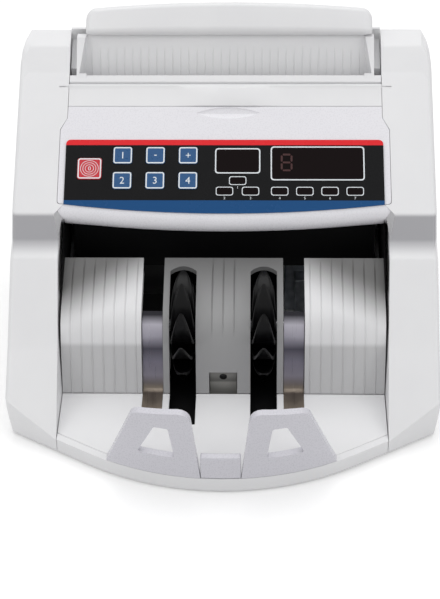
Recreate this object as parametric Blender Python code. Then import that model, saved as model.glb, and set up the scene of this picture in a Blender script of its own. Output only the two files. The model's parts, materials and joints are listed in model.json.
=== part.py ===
"""Banknote counter with a top hopper, a sloping control panel and a front stacker.

X runs across the front, Y towards the rear and Z up. The origin is the centre of the footprint on the table.
Run with blender --background --python part.py, or from the text editor.
"""
import math

import bpy
from mathutils import Matrix, Vector

MM = 0.001

# Overall sizes
BODY_WIDTH = 284.0 * MM
BODY_DEPTH = 260.0 * MM
SHOULDER_HEIGHT = 189.5 * MM
OPENING_WIDTH = 214.6 * MM
FOOT_HEIGHT = 1.5 * MM
WALL = 2.5 * MM
GAP = 0.3 * MM
EASE = 0.05 * MM
OVERRUN = 4.0 * MM
SHOULDER_RADIUS = 3.5 * MM
CORNER_SETBACK = 55.7 * MM
CORNER_RUN = 14.5 * MM
REAR_TAPER_WIDTH = 6.8 * MM
REAR_TAPER_LENGTH = 22.0 * MM
SIDE_DRAFT_WIDTH = 3.5 * MM
SIDE_DRAFT_HEIGHT = 20.0 * MM
HOPPER_SHIFT = 2.5 * MM
BOW_RADIUS = 170.0 * MM
BOW_ANGLE = math.radians(30.0)
LIP_HEIGHT = 11.5 * MM
LIP_DEPTH = 5.0 * MM

FRONT_Y = -BODY_DEPTH / 2
REAR_Y = BODY_DEPTH / 2
HALF_WIDTH = BODY_WIDTH / 2
HALF_OPENING = OPENING_WIDTH / 2
FLOOR_TOP = FOOT_HEIGHT + WALL
INSIDE_Z = FLOOR_TOP + GAP
INNER_HALF = HALF_OPENING - GAP

# Side casings: corners of the shoulder line, as shares of depth and of shoulder height, with their radii
SHOULDER_SHARES = (
    (0.1373, 0.0565, 0.0),
    (0.3154, 0.2612, 0.25),
    (0.4808, 0.4802, 0.03),
    (0.5269, 0.5119, 0.02),
    (0.5654, 0.5831, 0.02),
    (0.8923, 0.9045, 0.04),
    (0.9462, 0.9710, 0.03),
    (1.0000, 1.0000, 0.0),
)
FRONT_STEPS = 3
TAPER_POWER = 1.3
BOW_STEPS = 20

# Control panel: a flat slope with a rounded, bowed lip along its lower edge
PANEL_TAB = 4.3 * MM
PANEL_TAB_LENGTH = 62.0 * MM
PANEL_LENGTH = 77.3 * MM
LIP_RADIUS = 9.0 * MM
LIP_BOW = 6.4 * MM
LIP_RETURN = 13.0 * MM
LABEL_DROP = 24.8 * MM
LABEL_HEIGHT = 46.5 * MM
LABEL_THICKNESS = 0.5 * MM
LABEL_INSET = 0.1 * MM
LABEL_CORNER = 3.0 * MM

# Keys and windows. Places and window sizes run from the top centre of the label, across as shares of half
# the opening and down as shares of the label's height
KEY_WIDTH = 13.0 * MM
KEY_HEIGHT = 12.3 * MM
KEY_CORNER = 1.6 * MM
KEY_PROUD = 0.5 * MM
KEY_TRAVEL = 0.4 * MM
KEY_DEPTH = 3.2 * MM
KEY_FIRST_SHARES = (-0.6384, 0.2473)
KEY_PITCH_SHARES = (0.2060, 0.3892)
RESET_WIDTH = 16.5 * MM
RESET_HEIGHT = 15.3 * MM
RESET_SHARES = (-0.8453, 0.4538)
COUNT_WINDOW_SHARES = (0.5853, 0.3677, 0.5732, 0.4946)
BATCH_WINDOW_SHARES = (0.0848, 0.3290, 0.2703, 0.3613)
WINDOW_CORNER = 2.0 * MM
INDICATOR_WIDTH = 10.7 * MM
INDICATOR_HEIGHT = 5.3 * MM
INDICATOR_CORNER = 1.3 * MM
INDICATOR_SHARES = (
    (0.0857, 0.6366),
    (0.0037, 0.7978),
    (0.1659, 0.7978),
    (0.3476, 0.7978),
    (0.5042, 0.7978),
    (0.6608, 0.7978),
    (0.8173, 0.7978),
)
LENS_DEPTH = 2.2 * MM
LENS_PROUD = 0.1 * MM
BOARD_THICKNESS = 1.6 * MM
BOARD_DEPTH = 8.0 * MM
BOARD_CLEARANCE = 6.0 * MM
BOARD_HALF_WIDTH = INNER_HALF - BOARD_CLEARANCE
BOARD_TOP_DROP = 2.0 * MM
BOARD_HEIGHT = 42.0 * MM
POST_RADIUS = 3.0 * MM
SWITCH_SIZE = 6.0 * MM
PLUNGER_RADIUS = 1.75 * MM
LED_RADIUS = 1.5 * MM

# Top flap
FLAP_LENGTH = 12.4 * MM
FLAP_DOME = 3.0 * MM
FLAP_DOME_HALF = 40.0 * MM
FLAP_DOME_X = HOPPER_SHIFT
FLAP_BARREL_RADIUS = 2.2 * MM
FLAP_PIN_RADIUS = 0.9 * MM
SCOOP_HALF_WIDTH = 22.0 * MM
SCOOP_HALF_HEIGHT = 4.2 * MM
SCOOP_DEPTH = 1.5 * MM

# Hopper and rear cover
WING_WIDTH = 4.5 * MM
HOPPER_FLARE = 6.8 * MM
HOPPER_OUTER_HALF = INNER_HALF - WING_WIDTH - GAP
HOPPER_HALF = HOPPER_OUTER_HALF - HOPPER_FLARE
HOPPER_WALL = 1.8 * MM
BAR_DEPTH = 4.0 * MM
BAR_DROP = 10.0 * MM
BAR_SLOPE = 2.8 * MM
PLATE_THICKNESS = 2.5 * MM
PLATE_CLEARANCE = 4.4 * MM
HOPPER_RIB_PITCH = 5.6 * MM
HOPPER_RIB_WIDTH = 1.0 * MM
HOPPER_RIB_HEIGHT = 0.6 * MM
ROLL_HALF_WIDTH = 98.6 * MM
ROLL_LIFT = 2.3 * MM
ROLL_HEIGHT = 19.2 * MM
ROLL_BOTTOM = SHOULDER_HEIGHT + ROLL_LIFT
ROLL_TOP = ROLL_BOTTOM + ROLL_HEIGHT
ROLL_DEPTH = 14.2 * MM
ROLL_CROWN = 5.0 * MM
ROLL_END_RADIUS = 7.0 * MM
COVER_BOTTOM = 52.0 * MM
COVER_HINGE_Z = 48.0 * MM
COVER_HINGE_INSET = 4.5 * MM
COVER_PIN_RADIUS = 1.5 * MM
KNUCKLE_RADIUS = 3.0 * MM
KNUCKLE_LENGTH = 22.0 * MM
WING_FRONT = 21.0 * MM
WING_DROP = 20.0 * MM
KNOB_RADIUS = 9.0 * MM
KNOB_HEIGHT = 5.0 * MM
KNOB_RISE = 14.0 * MM
SCREW_RADIUS = 3.0 * MM

# Stacker
CENTRE_HALF = 39.7 * MM
STRIP_WIDTH = 13.6 * MM
STRIP_THICKNESS = 1.0 * MM
STRIP_RECESS = 5.0 * MM
STACKER_THICKNESS = 3.0 * MM
FLANGE_WIDTH = 1.8 * MM
FLANGE_DEPTH = 9.0 * MM
PLATE_ROWS = 10
FLANGE_ROWS = 13
STACKER_RIB_PITCH = 7.2 * MM
STACKER_RIB_WIDTH = 1.0 * MM
STACKER_RIB_HEIGHT = 0.6 * MM
STACKER_CLEARANCE = 12.85 * MM
FLOOR_RISE = 3.8 * MM
STACKER_SETBACK = 76.6 * MM
STACKER_RUN = 61.4 * MM
STACKER_FOOT_Z = LIP_HEIGHT + FLOOR_RISE
STACKER_FOOT_Y = FRONT_Y + STACKER_SETBACK
STACKER_TOP_Y = STACKER_FOOT_Y + STACKER_RUN
STACKER_FLOOR_THICKNESS = 2.0 * MM
SLOT_INNER_X = 18.0 * MM
SLOT_WIDTH = 17.6 * MM
SLOT_FRONT_REACH = 60.0 * MM
SLOT_BACK_REACH = 24.0 * MM
SLOT_ARCH = 3.5 * MM
SENSOR_WIDTH = 18.6 * MM
SENSOR_TOP_Z = 29.5 * MM
SENSOR_DEPTH = 4.0 * MM
SENSOR_HOLE_RADIUS = 2.4 * MM

# Pocket stops at the front: half outlines as (x, z), measured from the centre line and the lip
STOP_FOOT_INNER = 12.9 * MM
STOP_FOOT_OUTER = 73.0 * MM
STOP_TOP_INNER = 18.7 * MM
STOP_TOP_OUTER = 54.0 * MM
STOP_INNER_HEIGHT = 53.0 * MM
STOP_OUTER_HEIGHT = 48.0 * MM
STOP_CORNER = 7.0 * MM
STOP_HOLE_CORNER = 1.5 * MM
STOP_HOLE_TOP = 39.0 * MM
STOP_HOLE_BOTTOM = 15.6 * MM
STOP_HOLE_TOP_INNER = 32.2 * MM
STOP_HOLE_TOP_OUTER = 41.0 * MM
STOP_HOLE_FOOT_INNER = 28.6 * MM
STOP_HOLE_FOOT_OUTER = 52.4 * MM
CENTRE_STOP_HEIGHT = 17.5 * MM

# Drive train
IMPELLER_SETBACK = 31.4 * MM
IMPELLER_CLEARANCE = 7.0 * MM
IMPELLER_RADIUS = 37.0 * MM
IMPELLER_Y = STACKER_FOOT_Y + IMPELLER_SETBACK
IMPELLER_Z = FLOOR_TOP + IMPELLER_RADIUS + IMPELLER_CLEARANCE
IMPELLER_HUB_RADIUS = 12.0 * MM
IMPELLER_WIDTH = 14.0 * MM
IMPELLER_TIP_WIDTH = 4.0 * MM
IMPELLER_BLADES = 10
IMPELLER_SWEEP = math.radians(62.0)
BLADE_ROOT_THICKNESS = 2.6 * MM
BLADE_TIP_THICKNESS = 1.2 * MM
FEED_SETBACK = 18.0 * MM
FEED_DROP = 29.0 * MM
FEED_RADIUS = 14.5 * MM
PICKUP_SETBACK = 8.6 * MM
PICKUP_DROP = 26.0 * MM
PICKUP_RADIUS = 12.0 * MM
FRICTION_RADIUS = 9.0 * MM
ARM_CORNER = 2.0 * MM
NOTE_GAP = 0.4 * MM
SHAFT_RADIUS = 4.0 * MM
SHAFT_END_GAP = 0.8 * MM
ROLLER_WIDTH = 18.0 * MM
ROLLER_OFFSET = 42.0 * MM
SLEEVE_WALL = 2.0 * MM
BUSH_RADIUS = 7.0 * MM
BUSH_WIDTH = 3.0 * MM
DETECTOR_SIZE = (10.0 * MM, 8.0 * MM)
SIDE_PLATE_THICKNESS = 1.5 * MM
SIDE_PLATE_INSET = 2.2 * MM
MOTOR_SETBACK = 75.0 * MM
MOTOR_Y = REAR_Y - MOTOR_SETBACK
MOTOR_Z = 45.0 * MM
MOTOR_RADIUS = 24.0 * MM
MOTOR_LENGTH = 48.0 * MM
MOTOR_STANDOFF = 14.0 * MM
MOTOR_SHAFT_RADIUS = 3.0 * MM
MOTOR_FOOT_WIDTH = 30.0 * MM
PULLEY_WIDTH = 5.0 * MM
PULLEY_PITCH = 7.0 * MM
PULLEY_INSET = 9.3 * MM
PULLEY_X = PULLEY_INSET - HALF_OPENING
MOTOR_END_X = PULLEY_X + MOTOR_STANDOFF
MOTOR_PULLEY_RADIUS = 8.0 * MM
IMPELLER_PULLEY_RADIUS = 13.0 * MM
FEED_PULLEY_RADIUS = 10.0 * MM
PICKUP_PULLEY_RADIUS = 10.0 * MM
TOOTH_SIZE = 1.6 * MM
BELT_THICKNESS = 1.2 * MM
BELT_WIDTH = 4.4 * MM

# Electrics and rear panel
REAR_PANEL_TOP = 43.0 * MM
REAR_PANEL_RISE = 5.0 * MM
REAR_PARTS_Z = 23.0 * MM
INLET_X = -62.0 * MM
INLET_WIDTH = 28.0 * MM
INLET_HEIGHT = 20.0 * MM
INLET_DEPTH = 24.0 * MM
INLET_CAVITY = 16.0 * MM
INLET_WALL = 2.0 * MM
PIN_LENGTH = 9.0 * MM
PIN_WIDTH = 4.0 * MM
PIN_THICKNESS = 2.0 * MM
PIN_PITCH = 7.0 * MM
SWITCH_X = -28.0 * MM
SWITCH_WIDTH = 21.0 * MM
SWITCH_HEIGHT = 15.0 * MM
SWITCH_DEPTH = 16.0 * MM
ROCKER_RADIUS = 8.0 * MM
ROCKER_INSET = 5.5 * MM
ROCKER_TILT = math.radians(8.0)
FUSE_X = 0.0 * MM
FUSE_RADIUS = 7.0 * MM
FUSE_DEPTH = 26.0 * MM
SOCKET_X = 34.0 * MM
SOCKET_WIDTH = 14.0 * MM
SOCKET_HEIGHT = 12.0 * MM
SOCKET_DEPTH = 14.0 * MM
SOCKET_CAVITY = 9.0 * MM
RIM = 1.6 * MM
ELECTRICS_SETBACK = 68.0 * MM
TRANSFORMER_SIZE = (48.0 * MM, 46.0 * MM, 42.0 * MM)
TRANSFORMER_INSET = 41.3 * MM
TRANSFORMER_PLACE = (HALF_OPENING - TRANSFORMER_INSET, REAR_Y - ELECTRICS_SETBACK)
COIL_MARGIN = 7.0 * MM
MAIN_BOARD_SIZE = (34.0 * MM, 84.0 * MM)
MAIN_BOARD_Z = 8.0 * MM
MAIN_BOARD_PLACE = (
    (MOTOR_END_X + MOTOR_LENGTH + TRANSFORMER_PLACE[0] - TRANSFORMER_SIZE[0] / 2) / 2,
    REAR_Y - ELECTRICS_SETBACK,
)

# Feet
FOOT_RADIUS = 6.0 * MM
FOOT_STEM_RADIUS = 2.5 * MM
FOOT_INSET = 9.3 * MM
FOOT_FRONT_SETBACK = 68.0 * MM
FOOT_REAR_SETBACK = 22.0 * MM
FOOT_X = HALF_OPENING - FOOT_INSET
FOOT_FRONT_Y = FRONT_Y + FOOT_FRONT_SETBACK
FOOT_REAR_Y = REAR_Y - FOOT_REAR_SETBACK

MATERIALS = {
    "white_plastic": ((0.80, 0.81, 0.80), 0.42, 0.0),
    "panel_plastic": ((0.78, 0.79, 0.79), 0.40, 0.0),
    "label_black": ((0.012, 0.012, 0.014), 0.30, 0.0),
    "key_blue": ((0.03, 0.16, 0.33), 0.35, 0.0),
    "key_red": ((0.72, 0.03, 0.06), 0.35, 0.0),
    "smoked_window": ((0.02, 0.012, 0.012), 0.12, 0.0),
    "black_rubber": ((0.015, 0.015, 0.016), 0.55, 0.0),
    "grey_rubber": ((0.16, 0.16, 0.17), 0.7, 0.0),
    "bright_steel": ((0.60, 0.60, 0.63), 0.28, 1.0),
    "zinc_steel": ((0.52, 0.53, 0.54), 0.42, 1.0),
    "board_green": ((0.02, 0.16, 0.07), 0.5, 0.0),
    "black_plastic": ((0.02, 0.02, 0.022), 0.45, 0.0),
}


def get_material(name):
    """Return the Principled material of that name, made from the table above on its first use."""
    found = bpy.data.materials.get(name)
    if found:
        return found
    colour, roughness, metallic = MATERIALS[name]
    made = bpy.data.materials.new(name)
    made.use_nodes = True
    shader = made.node_tree.nodes["Principled BSDF"]
    shader.inputs["Base Color"].default_value = (*colour, 1.0)
    shader.inputs["Roughness"].default_value = roughness
    shader.inputs["Metallic"].default_value = metallic
    made.diffuse_color = (*colour, 1.0)
    return made


def add_object(name, shape, material=None, place=None, smooth=False, parent=None):
    """Make one object from (points, faces). The points are moved so that place becomes its origin."""
    points, faces = shape
    origin = Vector(place) if place else Vector((0, 0, 0))
    mesh = bpy.data.meshes.new(name)
    mesh.from_pydata([tuple(Vector(point) - origin) for point in points], [], faces)
    mesh.validate()
    item = bpy.data.objects.new(name, mesh)
    bpy.context.scene.collection.objects.link(item)
    item.location = origin
    if parent:
        item.parent = parent
        item.location = origin - parent.location
    if material:
        mesh.materials.append(get_material(material))
    if smooth:
        mesh.shade_smooth()
        mesh.set_sharp_from_angle(angle=math.radians(35))
    return item


def combine(target, name, shape, operation):
    """Cut a shape out of an object, or join it on, with a Boolean modifier."""
    tool = add_object(name, shape)
    tool.hide_render = True
    tool.display_type = "WIRE"
    use_tool(target, tool, operation)
    return tool


def use_tool(target, tool, operation):
    """Add a Boolean modifier that refers to an object made before."""
    step = target.modifiers.new(tool.name, "BOOLEAN")
    step.operation = operation
    step.solver = "EXACT"
    step.object = tool


def join_shapes(shapes):
    """Put several (points, faces) shapes into one."""
    points = []
    faces = []
    for shape_points, shape_faces in shapes:
        start = len(points)
        points.extend(shape_points)
        faces.extend([tuple(index + start for index in face) for face in shape_faces])
    return points, faces


def moved(shape, matrix):
    """Return the shape with a matrix applied to its points."""
    points, faces = shape
    return [tuple(matrix @ Vector(point)) for point in points], faces


def loft(rings):
    """Join rings of equal length into a closed tube with flat ends."""
    count = len(rings[0])
    points = [point for ring in rings for point in ring]
    faces = []
    for row in range(len(rings) - 1):
        for column in range(count):
            after = (column + 1) % count
            low = row * count
            high = low + count
            faces.append((low + column, low + after, high + after, high + column))
    faces.append(tuple(reversed(range(count))))
    faces.append(tuple(range(len(points) - count, len(points))))
    return face_out((points, faces))


def face_out(shape):
    """Turn all faces over when the closed shape's signed volume is negative."""
    points, faces = shape
    volume = 0.0
    for face in faces:
        first = Vector(points[face[0]])
        for index in range(1, len(face) - 1):
            second = Vector(points[face[index]])
            third = Vector(points[face[index + 1]])
            volume += first.dot(second.cross(third))
    if volume < 0:
        faces = [tuple(reversed(face)) for face in faces]
    return points, faces


def prism_x(outline, low, high):
    """Extrude a (y, z) outline along X."""
    return loft([[(x, y, z) for y, z in outline] for x in (low, high)])


def prism_y(outline, low, high):
    """Extrude an (x, z) outline along Y."""
    return loft([[(x, y, z) for x, z in outline] for y in (low, high)])


def prism_z(outline, low, high):
    """Extrude an (x, y) outline along Z."""
    return loft([[(x, y, z) for x, y in outline] for z in (low, high)])


def box(low, high):
    """A box between two corners."""
    return prism_z([(low[0], low[1]), (high[0], low[1]), (high[0], high[1]), (low[0], high[1])], low[2], high[2])


def circle(centre, radius, count=32):
    """Points round a circle."""
    turns = [2 * math.pi * index / count for index in range(count)]
    return [(centre[0] + radius * math.cos(turn), centre[1] + radius * math.sin(turn)) for turn in turns]


def tube_x(centre, radii, low, high, count=24):
    """A cylinder along X, or a ring when two radii are given."""
    outer = circle(centre, radii[0], count)
    if len(radii) == 1:
        return prism_x(outer, low, high)
    return ring_prism(outer, circle(centre, radii[1], count), low, high)


def ring_prism(outer, inner, low, high):
    """The band between two (y, z) outlines of equal length, extruded along X."""
    count = len(outer)
    points = []
    for outline in (outer, inner):
        for x in (low, high):
            points.extend([(x, y, z) for y, z in outline])
    faces = []
    for index in range(count):
        after = (index + 1) % count
        faces.append((index, after, count + after, count + index))
        faces.append((2 * count + after, 2 * count + index, 3 * count + index, 3 * count + after))
        faces.append((after, index, 2 * count + index, 2 * count + after))
        faces.append((count + index, count + after, 3 * count + after, 3 * count + index))
    return face_out((points, faces))


def turned_z(profile, centre, count=32):
    """Turn an (r, z) profile that starts and ends on the axis about a vertical line."""
    points = []
    faces = []
    inner = profile[1:-1]
    for radius, z in inner:
        points.extend([(x, y, z) for x, y in circle(centre, radius, count)])
    for row in range(len(inner) - 1):
        for column in range(count):
            after = (column + 1) % count
            low = row * count
            high = low + count
            faces.append((low + column, low + after, high + after, high + column))
    faces.append(tuple(reversed(range(count))))
    faces.append(tuple(range(len(points) - count, len(points))))
    return face_out((points, faces))


def rounded(corners, steps=4):
    """Replace each corner (a, b, radius) of a closed outline by an arc of that radius."""
    outline = []
    count = len(corners)
    for index, (a, b, radius) in enumerate(corners):
        here = Vector((a, b))
        before = Vector(corners[index - 1][:2]) - here
        after = Vector(corners[(index + 1) % count][:2]) - here
        if radius <= 0:
            outline.append((a, b))
            continue
        outline.extend(arc_between(here, before, after, radius, steps))
    return outline


def arc_between(here, before, after, radius, steps):
    """Points of the arc that touches both legs of a corner."""
    room = 0.49 * min(before.length, after.length)
    opening = before.angle(after)
    reach = min(radius / math.tan(opening / 2), room)
    start = here + before.normalized() * reach
    end = here + after.normalized() * reach
    true_radius = reach * math.tan(opening / 2)
    centre = here + (before.normalized() + after.normalized()).normalized() * true_radius / math.sin(opening / 2)
    first = start - centre
    last = end - centre
    turn = math.atan2(first.x * last.y - first.y * last.x, first.dot(last))
    points = []
    for step in range(steps + 1):
        angle = turn * step / steps
        spun = Matrix.Rotation(angle, 2) @ first
        points.append(tuple(centre + spun))
    return points


def rounded_path(corners, steps=4):
    """As rounded, for an open line that keeps its two ends."""
    line = [corners[0][:2]]
    for index in range(1, len(corners) - 1):
        here = Vector(corners[index][:2])
        before = Vector(corners[index - 1][:2]) - here
        after = Vector(corners[index + 1][:2]) - here
        line.extend(arc_between(here, before, after, corners[index][2], steps))
    line.append(corners[-1][:2])
    return line


def rounded_box_outline(width, height, radius, steps=2):
    """A centred rectangle, with round corners where a radius is given."""
    a = width / 2
    b = height / 2
    return rounded([(-a, -b, radius), (a, -b, radius), (a, b, radius), (-a, b, radius)], steps)


def inset_outline(outline, distance):
    """Move each side of a closed outline inwards by a distance."""
    area = sum(a[0] * b[1] - b[0] * a[1] for a, b in zip(outline, outline[1:] + outline[:1]))
    side = 1 if area > 0 else -1
    moved_points = []
    count = len(outline)
    for index in range(count):
        here = Vector(outline[index])
        before = (here - Vector(outline[index - 1])).normalized()
        after = (Vector(outline[(index + 1) % count]) - here).normalized()
        normal_before = Vector((-before.y, before.x)) * side
        normal_after = Vector((-after.y, after.x)) * side
        middle = normal_before + normal_after
        scale = distance * 2 / middle.length_squared
        moved_points.append(tuple(here + middle * scale))
    return moved_points


def path_normals(path):
    """Unit normals on the left of an open (y, z) line, one for each point."""
    normals = []
    last = len(path) - 1
    for index in range(last + 1):
        start = Vector(path[max(index - 1, 0)])
        end = Vector(path[min(index + 1, last)])
        along = (end - start).normalized()
        normals.append(Vector((-along.y, along.x)))
    return normals


def strip_along(path, low, high, top, bottom):
    """A sheet that follows a (y, z) line, from x low to high, between two offsets from the line."""
    normals = path_normals(path)
    rings = []
    for (y, z), normal in zip(path, normals):
        up = Vector((y, z)) + normal * top
        down = Vector((y, z)) + normal * bottom
        rings.append([(low, up.x, up.y), (high, up.x, up.y), (high, down.x, down.y), (low, down.x, down.y)])
    return loft(rings)


def ribbed_sheet(path, low, high, ribs, thickness, ribbed_from, ribbed_to):
    """A sheet along a (y, z) line whose front carries thin ribs between two shares of its length."""
    places, rib_width, rib_height = ribs
    normals = path_normals(path)
    last = len(path) - 1
    rings = []
    for index, ((y, z), normal) in enumerate(zip(path, normals)):
        share = index / last
        height = rib_height if ribbed_from <= share <= ribbed_to else 0.02 * rib_height
        comb = [(low, 0.0)]
        for place in places:
            comb.append((place - rib_width / 2, 0.0))
            comb.append((place, height))
            comb.append((place + rib_width / 2, 0.0))
        comb.extend([(high, 0.0), (high, -thickness), (low, -thickness)])
        here = Vector((y, z))
        rings.append([(x, *(here + normal * offset)) for x, offset in comb])
    return loft(rings)


def bow_y(x, inset=0.0):
    """Front edge of the footprint: an arc in the middle that runs out into straight lines to the corners."""
    radius = BOW_RADIUS - inset
    reach = radius * math.sin(BOW_ANGLE)
    if abs(x) <= reach:
        return FRONT_Y + inset + radius - math.sqrt(radius * radius - x * x)
    straight = (min(abs(x), HALF_OPENING) - reach) * math.tan(BOW_ANGLE)
    opening_y = FRONT_Y + inset + radius * (1 - math.cos(BOW_ANGLE)) + straight
    beyond = max(abs(x) - HALF_OPENING, 0.0) / (HALF_WIDTH - HALF_OPENING)
    return opening_y + (FRONT_Y + inset + CORNER_SETBACK - opening_y) * beyond


def bow_line(low, high, inset, steps):
    """Points (x, y) along the bowed front edge."""
    places = [low + (high - low) * step / steps for step in range(steps + 1)]
    return [(x, bow_y(x, inset)) for x in places]


def shoulder_corners():
    """Corners of the shoulder line in metres, as (y, z, radius)."""
    return [
        (FRONT_Y + a * BODY_DEPTH, b * SHOULDER_HEIGHT, c * BODY_DEPTH)
        for a, b, c in SHOULDER_SHARES
    ]


def shoulder_line():
    """The rounded shoulder line from the front to the rear."""
    return rounded_path(shoulder_corners())


def shoulder_z(y, line):
    """Height of the shoulder line at a depth, continued straight before its first point."""
    for (y0, z0), (y1, z1) in zip(line, line[1:]):
        if y <= y1:
            return z0 + (z1 - z0) * (y - y0) / (y1 - y0)
    return line[-1][1]


# Frame of the control panel: its origin is the top centre of the label
CORNERS = shoulder_corners()
PANEL_LOW = Vector(CORNERS[4][:2])
PANEL_HIGH = Vector(CORNERS[5][:2])
PANEL_ANGLE = math.atan2(PANEL_HIGH.y - PANEL_LOW.y, PANEL_HIGH.x - PANEL_LOW.x)
PANEL_TOP_Y = PANEL_LOW.x + PANEL_LENGTH * math.cos(PANEL_ANGLE) + WALL / 2
SLOPE = Vector((math.cos(PANEL_ANGLE), math.sin(PANEL_ANGLE)))
NORMAL = Vector((-math.sin(PANEL_ANGLE), math.cos(PANEL_ANGLE)))


def panel_z(y):
    """Height of the panel plane at a depth."""
    return PANEL_LOW.y + (y - PANEL_LOW.x) * math.tan(PANEL_ANGLE)


PANEL_TOP = Vector((PANEL_TOP_Y, panel_z(PANEL_TOP_Y)))
LABEL_TOP = PANEL_TOP - SLOPE * LABEL_DROP
PANEL_FRAME = Matrix(
    (
        (1, 0, 0, 0),
        (0, SLOPE.x, NORMAL.x, LABEL_TOP.x),
        (0, SLOPE.y, NORMAL.y, LABEL_TOP.y),
        (0, 0, 0, 1),
    )
)
LABEL_TOP_FACE = GAP + LABEL_THICKNESS

# Places that follow the panel: the flap's hinge, the hopper bar, the shafts and the top of the stacker plates
FLAP_AXIS = PANEL_TOP + SLOPE * (GAP + FLAP_LENGTH + FLAP_BARREL_RADIUS) - NORMAL * FLAP_BARREL_RADIUS / 2
BAR_FRONT = FLAP_AXIS.x + FLAP_BARREL_RADIUS + 2 * GAP
BAR_TOP = panel_z(BAR_FRONT) - 2 * GAP
PICKUP_Y = BAR_FRONT - PICKUP_SETBACK
PICKUP_Z = BAR_TOP - PICKUP_DROP
FEED_Y = PICKUP_Y - FEED_SETBACK
FEED_Z = PICKUP_Z - FEED_DROP
KNOB_Z = FEED_Z + KNOB_RISE
LIP_FOOT = LABEL_TOP - SLOPE * (LABEL_HEIGHT + LIP_BOW) - NORMAL * LIP_RADIUS
STACKER_TOP_Z = LIP_FOOT.y - LIP_RADIUS - STACKER_CLEARANCE


def on_label(shares):
    """Metres from shares that run across and down the label by turns."""
    return tuple(share * (LABEL_HEIGHT if index % 2 else HALF_OPENING) for index, share in enumerate(shares))


COUNT_WINDOW = on_label(COUNT_WINDOW_SHARES)
BATCH_WINDOW = on_label(BATCH_WINDOW_SHARES)
INDICATOR_PLACES = [on_label(shares) for shares in INDICATOR_SHARES]


def on_panel(outline, low, high, place=(0.0, 0.0)):
    """Extrude an outline out of the panel plane. place is (x, drop) from the top centre of the label."""
    shifted = [(x + place[0], y - place[1]) for x, y in outline]
    return moved(prism_z(shifted, low, high), PANEL_FRAME)


def lip_centre(x):
    """Centre of the panel lip's arc at one place across the panel, as (y, z)."""
    share = 1 - (x / HALF_OPENING) ** 2
    drop = LABEL_HEIGHT + LIP_BOW * max(share, 0.0)
    return LABEL_TOP - SLOPE * drop - NORMAL * LIP_RADIUS


def casing_stations():
    """Places across a casing where its section changes, from the inner wall to the outer face."""
    flat_end = HALF_WIDTH - SHOULDER_RADIUS
    places = {HALF_OPENING, HALF_WIDTH - REAR_TAPER_WIDTH, HALF_WIDTH - SIDE_DRAFT_WIDTH}
    places.update(flat_end + SHOULDER_RADIUS * math.sin(math.radians(angle)) for angle in (0, 30, 60, 90))
    return sorted(places)


def casing_section(x, inset, shift=0.0):
    """Section of a casing at x as (y, z) points, with the front edge taken a shift away across the casing.

    The rear edge comes forward and the foot rises near the outer face.
    """
    line = shoulder_line()
    edge = FRONT_Y + CORNER_SETBACK + CORNER_RUN
    front = bow_y(x + shift)
    rear_share = max(x - HALF_WIDTH + REAR_TAPER_WIDTH, 0.0) / REAR_TAPER_WIDTH
    foot_share = max(x - HALF_WIDTH + SIDE_DRAFT_WIDTH, 0.0) / SIDE_DRAFT_WIDTH
    rear = REAR_Y - REAR_TAPER_LENGTH * rear_share ** TAPER_POWER
    foot = FOOT_HEIGHT + SIDE_DRAFT_HEIGHT * foot_share
    turn_y = REAR_Y - 2 * REAR_TAPER_LENGTH
    squeeze = (rear - turn_y) / (REAR_Y - turn_y)
    depths = [front + (edge - front) * step / FRONT_STEPS for step in range(FRONT_STEPS + 1)]
    depths.extend(y if y < turn_y else turn_y + (y - turn_y) * squeeze for y, _ in line if y > edge + WALL)
    outline = [(front, foot)] + [(y, shoulder_z(y, line)) for y in depths] + [(rear, foot)]
    return inset_outline(outline, inset) if inset > 0 else outline


def side_casing(name, side):
    """Hollow side casing: bowed front wall, shoulder line on top, open below."""
    rings = []
    for x in casing_stations():
        round_x = max(x - HALF_WIDTH + SHOULDER_RADIUS, 0.0)
        inset = SHOULDER_RADIUS - math.sqrt(max(SHOULDER_RADIUS ** 2 - round_x ** 2, 0.0))
        rings.append([(side * x, y, z) for y, z in casing_section(x, inset)])
    casing = add_object(name, loft(rings), "white_plastic", smooth=True)

    inner = []
    open_end = HALF_WIDTH - SIDE_DRAFT_WIDTH
    for x in (HALF_OPENING, HALF_WIDTH - REAR_TAPER_WIDTH, open_end, HALF_WIDTH):
        shift = WALL if x == HALF_OPENING else -WALL
        outline = casing_section(x, WALL, shift)
        if x <= open_end:
            outline[0] = (outline[0][0], -OVERRUN)
            outline[-1] = (outline[-1][0], -OVERRUN)
        inner.append([(side * (x + shift), y, z) for y, z in outline])
    combine(casing, name + "_hollow", loft(inner), "DIFFERENCE")
    low_x = side * (HALF_OPENING - OVERRUN)
    high_x = side * (HALF_OPENING + WALL + GAP)
    clear_front = bow_y(HALF_OPENING) + WALL + GAP
    foot = box((min(low_x, high_x), clear_front, -OVERRUN), (max(low_x, high_x), REAR_Y - WALL, INSIDE_Z))
    combine(casing, name + "_foot_clearance", foot, "DIFFERENCE")

    tab = tab_outline(side, GAP)
    rebate = moved(prism_z(tab, -WALL - GAP, OVERRUN), PANEL_FRAME)
    combine(casing, name + "_panel_rebate", rebate, "DIFFERENCE")

    pins = join_shapes(
        [
            tube_x(tuple(FLAP_AXIS), (FLAP_PIN_RADIUS + GAP,), *span(side), count=16),
            tube_x(cover_axis(), (COVER_PIN_RADIUS + GAP,), *span(side), count=16),
        ]
    )
    combine(casing, name + "_pin_holes", pins, "DIFFERENCE")
    return casing


def span(side):
    """The x range of a hole through the inner wall of one side casing."""
    low = side * (HALF_OPENING - OVERRUN)
    high = side * (HALF_OPENING + WALL + OVERRUN)
    return min(low, high), max(low, high)


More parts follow.
